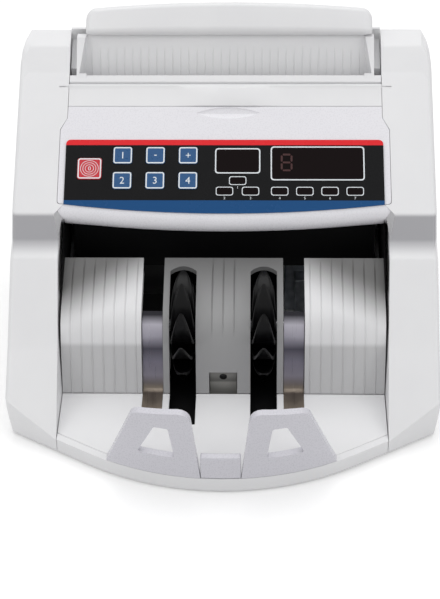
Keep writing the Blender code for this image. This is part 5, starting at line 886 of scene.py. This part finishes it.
noteGuide(openingShadeValues)
for side in (-1, 1):
    hingeCover(side, coverValues)
    stackingWheel(side, wheelValues)
    wheelWell(side, wheelShadeValues)
    sideGuide(side, sideShadeValues)
print("wheels and linings made")


# Floor, lights and world
stageValues = dict(floorColour="#F2F2F2", floorGlow=0.17, floorHalf=6.0, floorDrop=0.2 * mm, world=0.66, lamps=[
    dict(name="rearSoftbox", place=(0.0, 0.55, 1.35), aim=(0, 0, 0.08), size=1.2, power=6.6),
    dict(name="leftSoftbox", place=(-1.1, -0.55, 1.1), aim=(0, 0, 0.08), size=0.9, power=3.9),
    dict(name="rightSoftbox", place=(1.1, -0.55, 1.1), aim=(0, 0, 0.08), size=0.9, power=3.9),
])


def placeFloor(values):
    # a pale floor that is nearly white to the camera and in reflections, and still takes the machine's shadow
    material, tree, shader = newFinish("paleStudioFloor", Roughness=0.35, IOR=1.45,
                                       Base_Color=linear(values["floorColour"]), Emission_Color=(1, 1, 1, 1))
    rays = addNode(tree, "ShaderNodeLightPath").outputs
    seen = calculate(tree, "MAXIMUM", rays["Is Camera Ray"], rays["Is Glossy Ray"])
    shown = calculate(tree, "MAXIMUM", seen, rays["Is Transmission Ray"])
    tree.links.new(calculate(tree, "MULTIPLY", shown, values["floorGlow"]), shader.inputs["Emission Strength"])
    size = values["floorHalf"]
    corners = np.array([[-size, -size, 0], [size, -size, 0], [size, size, 0], [-size, size, 0]])
    addPiece(newMesh("studioFloor", corners - [0, 0, values["floorDrop"]], [[0, 1, 2, 3]]), material)


def placeWorld(values):
    # white to the camera, and dimmer as a light
    world = bpy.data.worlds.new("studioWorld")
    world.use_nodes = True
    air = world.node_tree
    rays = addNode(air, "ShaderNodeLightPath").outputs
    seen = calculate(air, "MAXIMUM", rays["Is Camera Ray"], rays["Is Transmission Ray"])
    strength = addNode(air, "ShaderNodeMapRange", {"Value": seen, "To Min": values["world"], "To Max": 1.0})
    air.nodes["Background"].inputs["Color"].default_value = (1, 1, 1, 1)
    air.links.new(strength.outputs[0], air.nodes["Background"].inputs["Strength"])
    bpy.context.scene.world = world


def placeLamp(name, place, aim, size, power):
    data = bpy.data.lights.new(name, "AREA")
    data.shape, data.size, data.energy = "SQUARE", size, power
    lamp = bpy.data.objects.new(name, data)
    lamp.location = place
    lamp.rotation_euler = (Vector(aim) - Vector(place)).to_track_quat("-Z", "Y").to_euler()
    bpy.context.scene.collection.objects.link(lamp)


placeFloor(stageValues)
placeWorld(stageValues)
for lamp in stageValues["lamps"]:
    placeLamp(**lamp)
print("stage lit")
